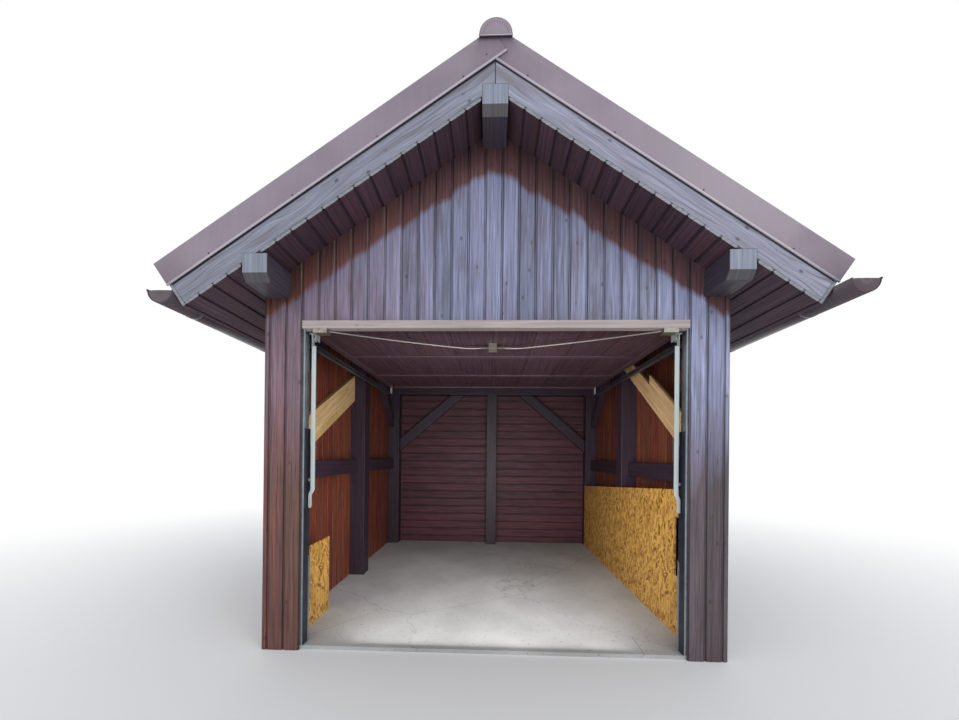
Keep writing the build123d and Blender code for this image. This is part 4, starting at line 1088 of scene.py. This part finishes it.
class STORE_OT_door_gear(bpy.types.Operator):
    """Fold the lifting arms, stretch the release cords and fit nuts and screws"""

    bl_idname = "store.door_gear"
    bl_label = "Door gear"

    def execute(self, context):
        """An arm is an angle with a rounded fold, carried down a path that steps outward at the crank; its front
        flange narrows below. A cord is a circle carried along a path that sags between its two ends."""
        sizes = context.scene.store_sizes
        wall, depth, crank, lever = 0.004, 0.030, 0.014, 0.185
        fold = sizes.steel_edge
        for side, name in SIDES:
            node = "arm_" + name
            bottom, top = low(node), high(node)
            outer = max(abs(bottom[0]), abs(top[0]))
            inner = outer - crank
            pivot = bottom[2] + lever
            z = np.array([top[2], top[2] - 0.065, top[2] - 0.066, pivot - 0.056, pivot - 0.062, pivot - 0.070,
                          pivot - 0.092, pivot - 0.100, pivot - 0.106, bottom[2] + 0.01, bottom[2]])
            step = np.array([0, 0, 0, 0, 0.0005, 0.002, 0.012, 0.0135, 0.014, 0.014, 0.014])
            width = np.array([0.0045, 0.0045, 0.030, 0.030, 0.0297, 0.029, 0.025, 0.024, 0.024, 0.024, 0.018])
            bend = np.linspace(0, pi / 2, 5)
            rounded = np.stack([fold - fold * np.sin(bend), fold - fold * np.cos(bend)], 1)[::-1]
            grid = []
            for z_, step_, width_ in zip(z, step, width):
                flange = [(width_, 0.0), (width_, wall), (wall, wall), (wall, depth), (0.0, depth)]
                outline = np.vstack([flange, rounded, flange[:1]])
                x = side * (inner + step_ - outline[:, 0])
                grid.append(np.stack([x, bottom[1] + outline[:, 1], np.full(len(outline), z_)], 1))
            part = surface(np.array(grid))
            ends = []
            for ring in (grid[0], grid[-1]):
                ends.append(surface(np.array([ring[[1, 0]], ring[[2, 5]]])))
                ends.append(surface(np.array([ring[[2, 5]], ring[[3, 4]]])))
            make_piece("lifting_arm_" + name, join(part, *ends), "white_steel", body="arms", stands_for=(node,),
                       smooth=True, weld=True)
            y = (bottom[1] + top[1]) / 2
            nut = [(0.0, 0.0), (0.0, 0.0105), (0.005, 0.0105), (0.006, 0.0095), (0.006, 0.0)]
            nuts = lathe([(side * (inner - wall), y, pivot)], (-side, 0, 0), (0, 1, 0), nut, sides=6)
            stub = [(0.0, 0.0), (0.0, 0.012), (0.0139, 0.012), (0.0139, 0.0)]
            stubs = lathe([(side * inner, y, pivot)], (side, 0, 0), (0, 1, 0), stub, sides=20)
            make_piece("pivot_bolt_" + name, join(nuts, stubs), "white_steel", body="arms",
                       finish="galvanised_steel", smooth=True, weld=True)
        make_piece("release_cord_lines", self.cords(sizes.cord_radius), "white_cord", body="leaf",
                   stands_for=("release_cords",), smooth=True, weld=True)
        return {"FINISHED"}

    def cords(self, radius):
        """Both cords: level from the lock bar, round a bend, then straight to the latches, with a sag."""
        lock_reach, level_run, rounding, sag = 0.090, 0.100, 0.05, 0.006
        lines = []
        bottom, top = low("release_cords"), high("release_cords")
        z = (bottom[2] + top[2]) / 2
        lock_y = top[1] - 0.004
        latch_y = bottom[1] + 0.004
        for side in (-1, 1):
            outer = top[0] - 0.001
            bend = lock_reach + level_run
            share = np.concatenate([np.linspace(0, 0.08, 4), np.linspace(0.1, 1, 22)])
            x = lock_reach + share * (outer - lock_reach)
            run = np.clip((x - bend) / (outer - bend), 0, 1)
            ease = np.clip((x - bend + rounding) / (2 * rounding), 0, 1)
            run = np.where(x < bend + rounding, ease ** 2 * rounding / (outer - bend), run)
            y = lock_y + run * (latch_y - lock_y)
            path = np.stack([side * x, y, z - sag * np.sin(pi * share)], 1)
            turn = np.linspace(0, 2 * pi, 11)[:-1]
            ring = radius * np.stack([np.cos(turn), np.sin(turn)], 1)
            ahead = np.gradient(path, axis=0)
            ahead /= np.linalg.norm(ahead, axis=1, keepdims=True)
            level = np.cross(ahead, (0, 0, 1))
            level /= np.linalg.norm(level, axis=1, keepdims=True)
            lines.append(sweep(ring, path, level, np.cross(level, ahead), close=True))
        return join(*lines)


class STORE_OT_studio(bpy.types.Operator):
    """Set the floor, the light and the camera"""

    bl_idname = "store.studio"
    bl_label = "Studio"

    def execute(self, context):
        scene = context.scene
        scene.view_settings.view_transform = "Standard"
        half = 40.0
        grid = np.array([[(-half, -half, 0), (-half, half, 0)], [(half, -half, 0), (half, half, 0)]], float)
        part = surface(grid - (0, 0, 0.0005))
        mesh = bpy.data.meshes.new("studio_floor")
        mesh.from_pydata(part[0], [], part[1])
        mesh.materials.append(self.floor_finish())
        floor = bpy.data.objects.new("studio_floor", mesh)
        scene.collection.objects.link(floor)
        world = bpy.data.worlds.new("studio_light")
        scene.world = world
        world.use_nodes = True
        world.node_tree.nodes.clear()
        add = partial(add_node, world.node_tree)
        even = add("Background", {"Color": (0.93, 0.96, 1.0, 1.0), "Strength": 0.82})
        white = add("Background", {"Color": (1.0, 1.0, 1.0, 1.0), "Strength": 1.0})
        both = add("MixShader", {0: self.seen(add), 1: even, 2: white})
        add("OutputWorld", {"Surface": both})
        lamps = (
            ("key_light", (4.5, -6.5, 6.5), (0.0, 0.0, 1.6), 115.0, 3.0),
            ("fill_light", (-5.5, -6.0, 3.0), (0.0, 0.0, 1.4), 35.0, 4.0),
            ("room_light", (0.0, -1.46, 0.98), (0.0, 0.5, 1.0), 25.0, 1.8),
        )
        for name, place, target, power, size in lamps:
            lamp = bpy.data.lights.new(name, "AREA")
            lamp.energy = power
            lamp.size = size
            item = bpy.data.objects.new(name, lamp)
            item.visible_camera = False
            scene.collection.objects.link(item)
            away = np.array(place) - np.array(target)
            away /= np.linalg.norm(away)
            side = np.cross((0, 0, 1), away)
            side /= np.linalg.norm(side)
            turn = Matrix(np.stack([side, np.cross(away, side), away], 1).tolist())
            item.matrix_world = Matrix.Translation(place) @ turn.to_4x4()
        self.camera(scene)
        return {"FINISHED"}

    def seen(self, add):
        """1 for what the camera sees straight, in a mirror or through glass."""
        path = add("LightPath").outputs
        clear = add("Math", {0: path["Is Camera Ray"], 1: path["Is Transmission Ray"]}, operation="MAXIMUM")
        return add("Math", {0: clear, 1: path["Is Glossy Ray"]}, operation="MAXIMUM")

    def floor_finish(self):
        """Plain pale floor that shows the object's shadow, and turns into the white background farther out."""
        material, add, shader = start_finish("studio_floor")
        feed(shader, {"Base Color": (0.9, 0.9, 0.9, 1.0), "Roughness": 0.9})
        where = add("TexCoord").outputs["Object"]
        reach = add("VectorMath", {0: where}, operation="LENGTH").outputs["Value"]
        faded = add("MapRange", {"Value": reach, "From Min": 2.5, "From Max": 8.0}, interpolation_type="SMOOTHSTEP")
        seen = add("Math", {0: faded, 1: self.seen(add)}, operation="MULTIPLY")
        white = add("Emission", {"Color": (1.0, 1.0, 1.0, 1.0), "Strength": 1.0})
        both = add("MixShader", {0: seen, 1: shader, 2: white})
        feed(material.node_tree.nodes["Material Output"], {"Surface": both})
        return material

    def camera(self, scene):
        """Camera of the photograph: 13.6 mm lens 1.3 m over the floor, level, turned 1.9 degrees to the left."""
        data = bpy.data.cameras.new("camera")
        data.lens = 13.58
        data.sensor_width = 36.0
        data.shift_y = 0.0990
        item = bpy.data.objects.new("camera", data)
        scene.collection.objects.link(item)
        turn = Matrix.Rotation(radians(1.87), 4, "Z") @ Matrix.Rotation(radians(0.14), 4, "X")
        turn = turn @ Matrix.Rotation(radians(-0.58), 4, "Y") @ Matrix.Rotation(pi / 2, 4, "X")
        item.matrix_world = Matrix.Translation((-0.002, -3.829, 1.285)) @ turn
        scene.camera = item


STEPS = (
    STORE_OT_finishes, STORE_OT_wall_boards, STORE_OT_soffit, STORE_OT_timber_frame, STORE_OT_linings,
    STORE_OT_roof_tiles, STORE_OT_verges, STORE_OT_ridge_cap, STORE_OT_gutters, STORE_OT_door_leaf,
    STORE_OT_door_gear, STORE_OT_studio,
)


class STORE_PT_panel(bpy.types.Panel):
    """Panel that lists the settings and the steps"""

    bl_idname = "STORE_PT_panel"
    bl_label = "Timber store"
    bl_space_type = "VIEW_3D"
    bl_region_type = "UI"
    bl_category = "Timber store"

    def draw(self, context):
        layout = self.layout
        for group in (context.scene.store_sizes, context.scene.store_colours):
            box = layout.box()
            for key in group.__annotations__:
                box.prop(group, key)
        for step in STEPS:
            layout.operator(step.bl_idname)


CLASSES = (StoreSizes, StoreColours, *STEPS, STORE_PT_panel)


def register():
    """Registers the classes and the settings."""
    for entry in CLASSES:
        bpy.utils.register_class(entry)
    bpy.types.Scene.store_sizes = bpy.props.PointerProperty(type=StoreSizes)
    bpy.types.Scene.store_colours = bpy.props.PointerProperty(type=StoreColours)


def unregister():
    """Removes the settings and the classes."""
    del bpy.types.Scene.store_colours
    del bpy.types.Scene.store_sizes
    for entry in reversed(CLASSES):
        bpy.utils.unregister_class(entry)


def main():
    """Runs every step in order."""
    register()
    for step in STEPS:
        group, action = step.bl_idname.split(".")
        getattr(getattr(bpy.ops, group), action)()


if __name__ == "__main__":
    main()
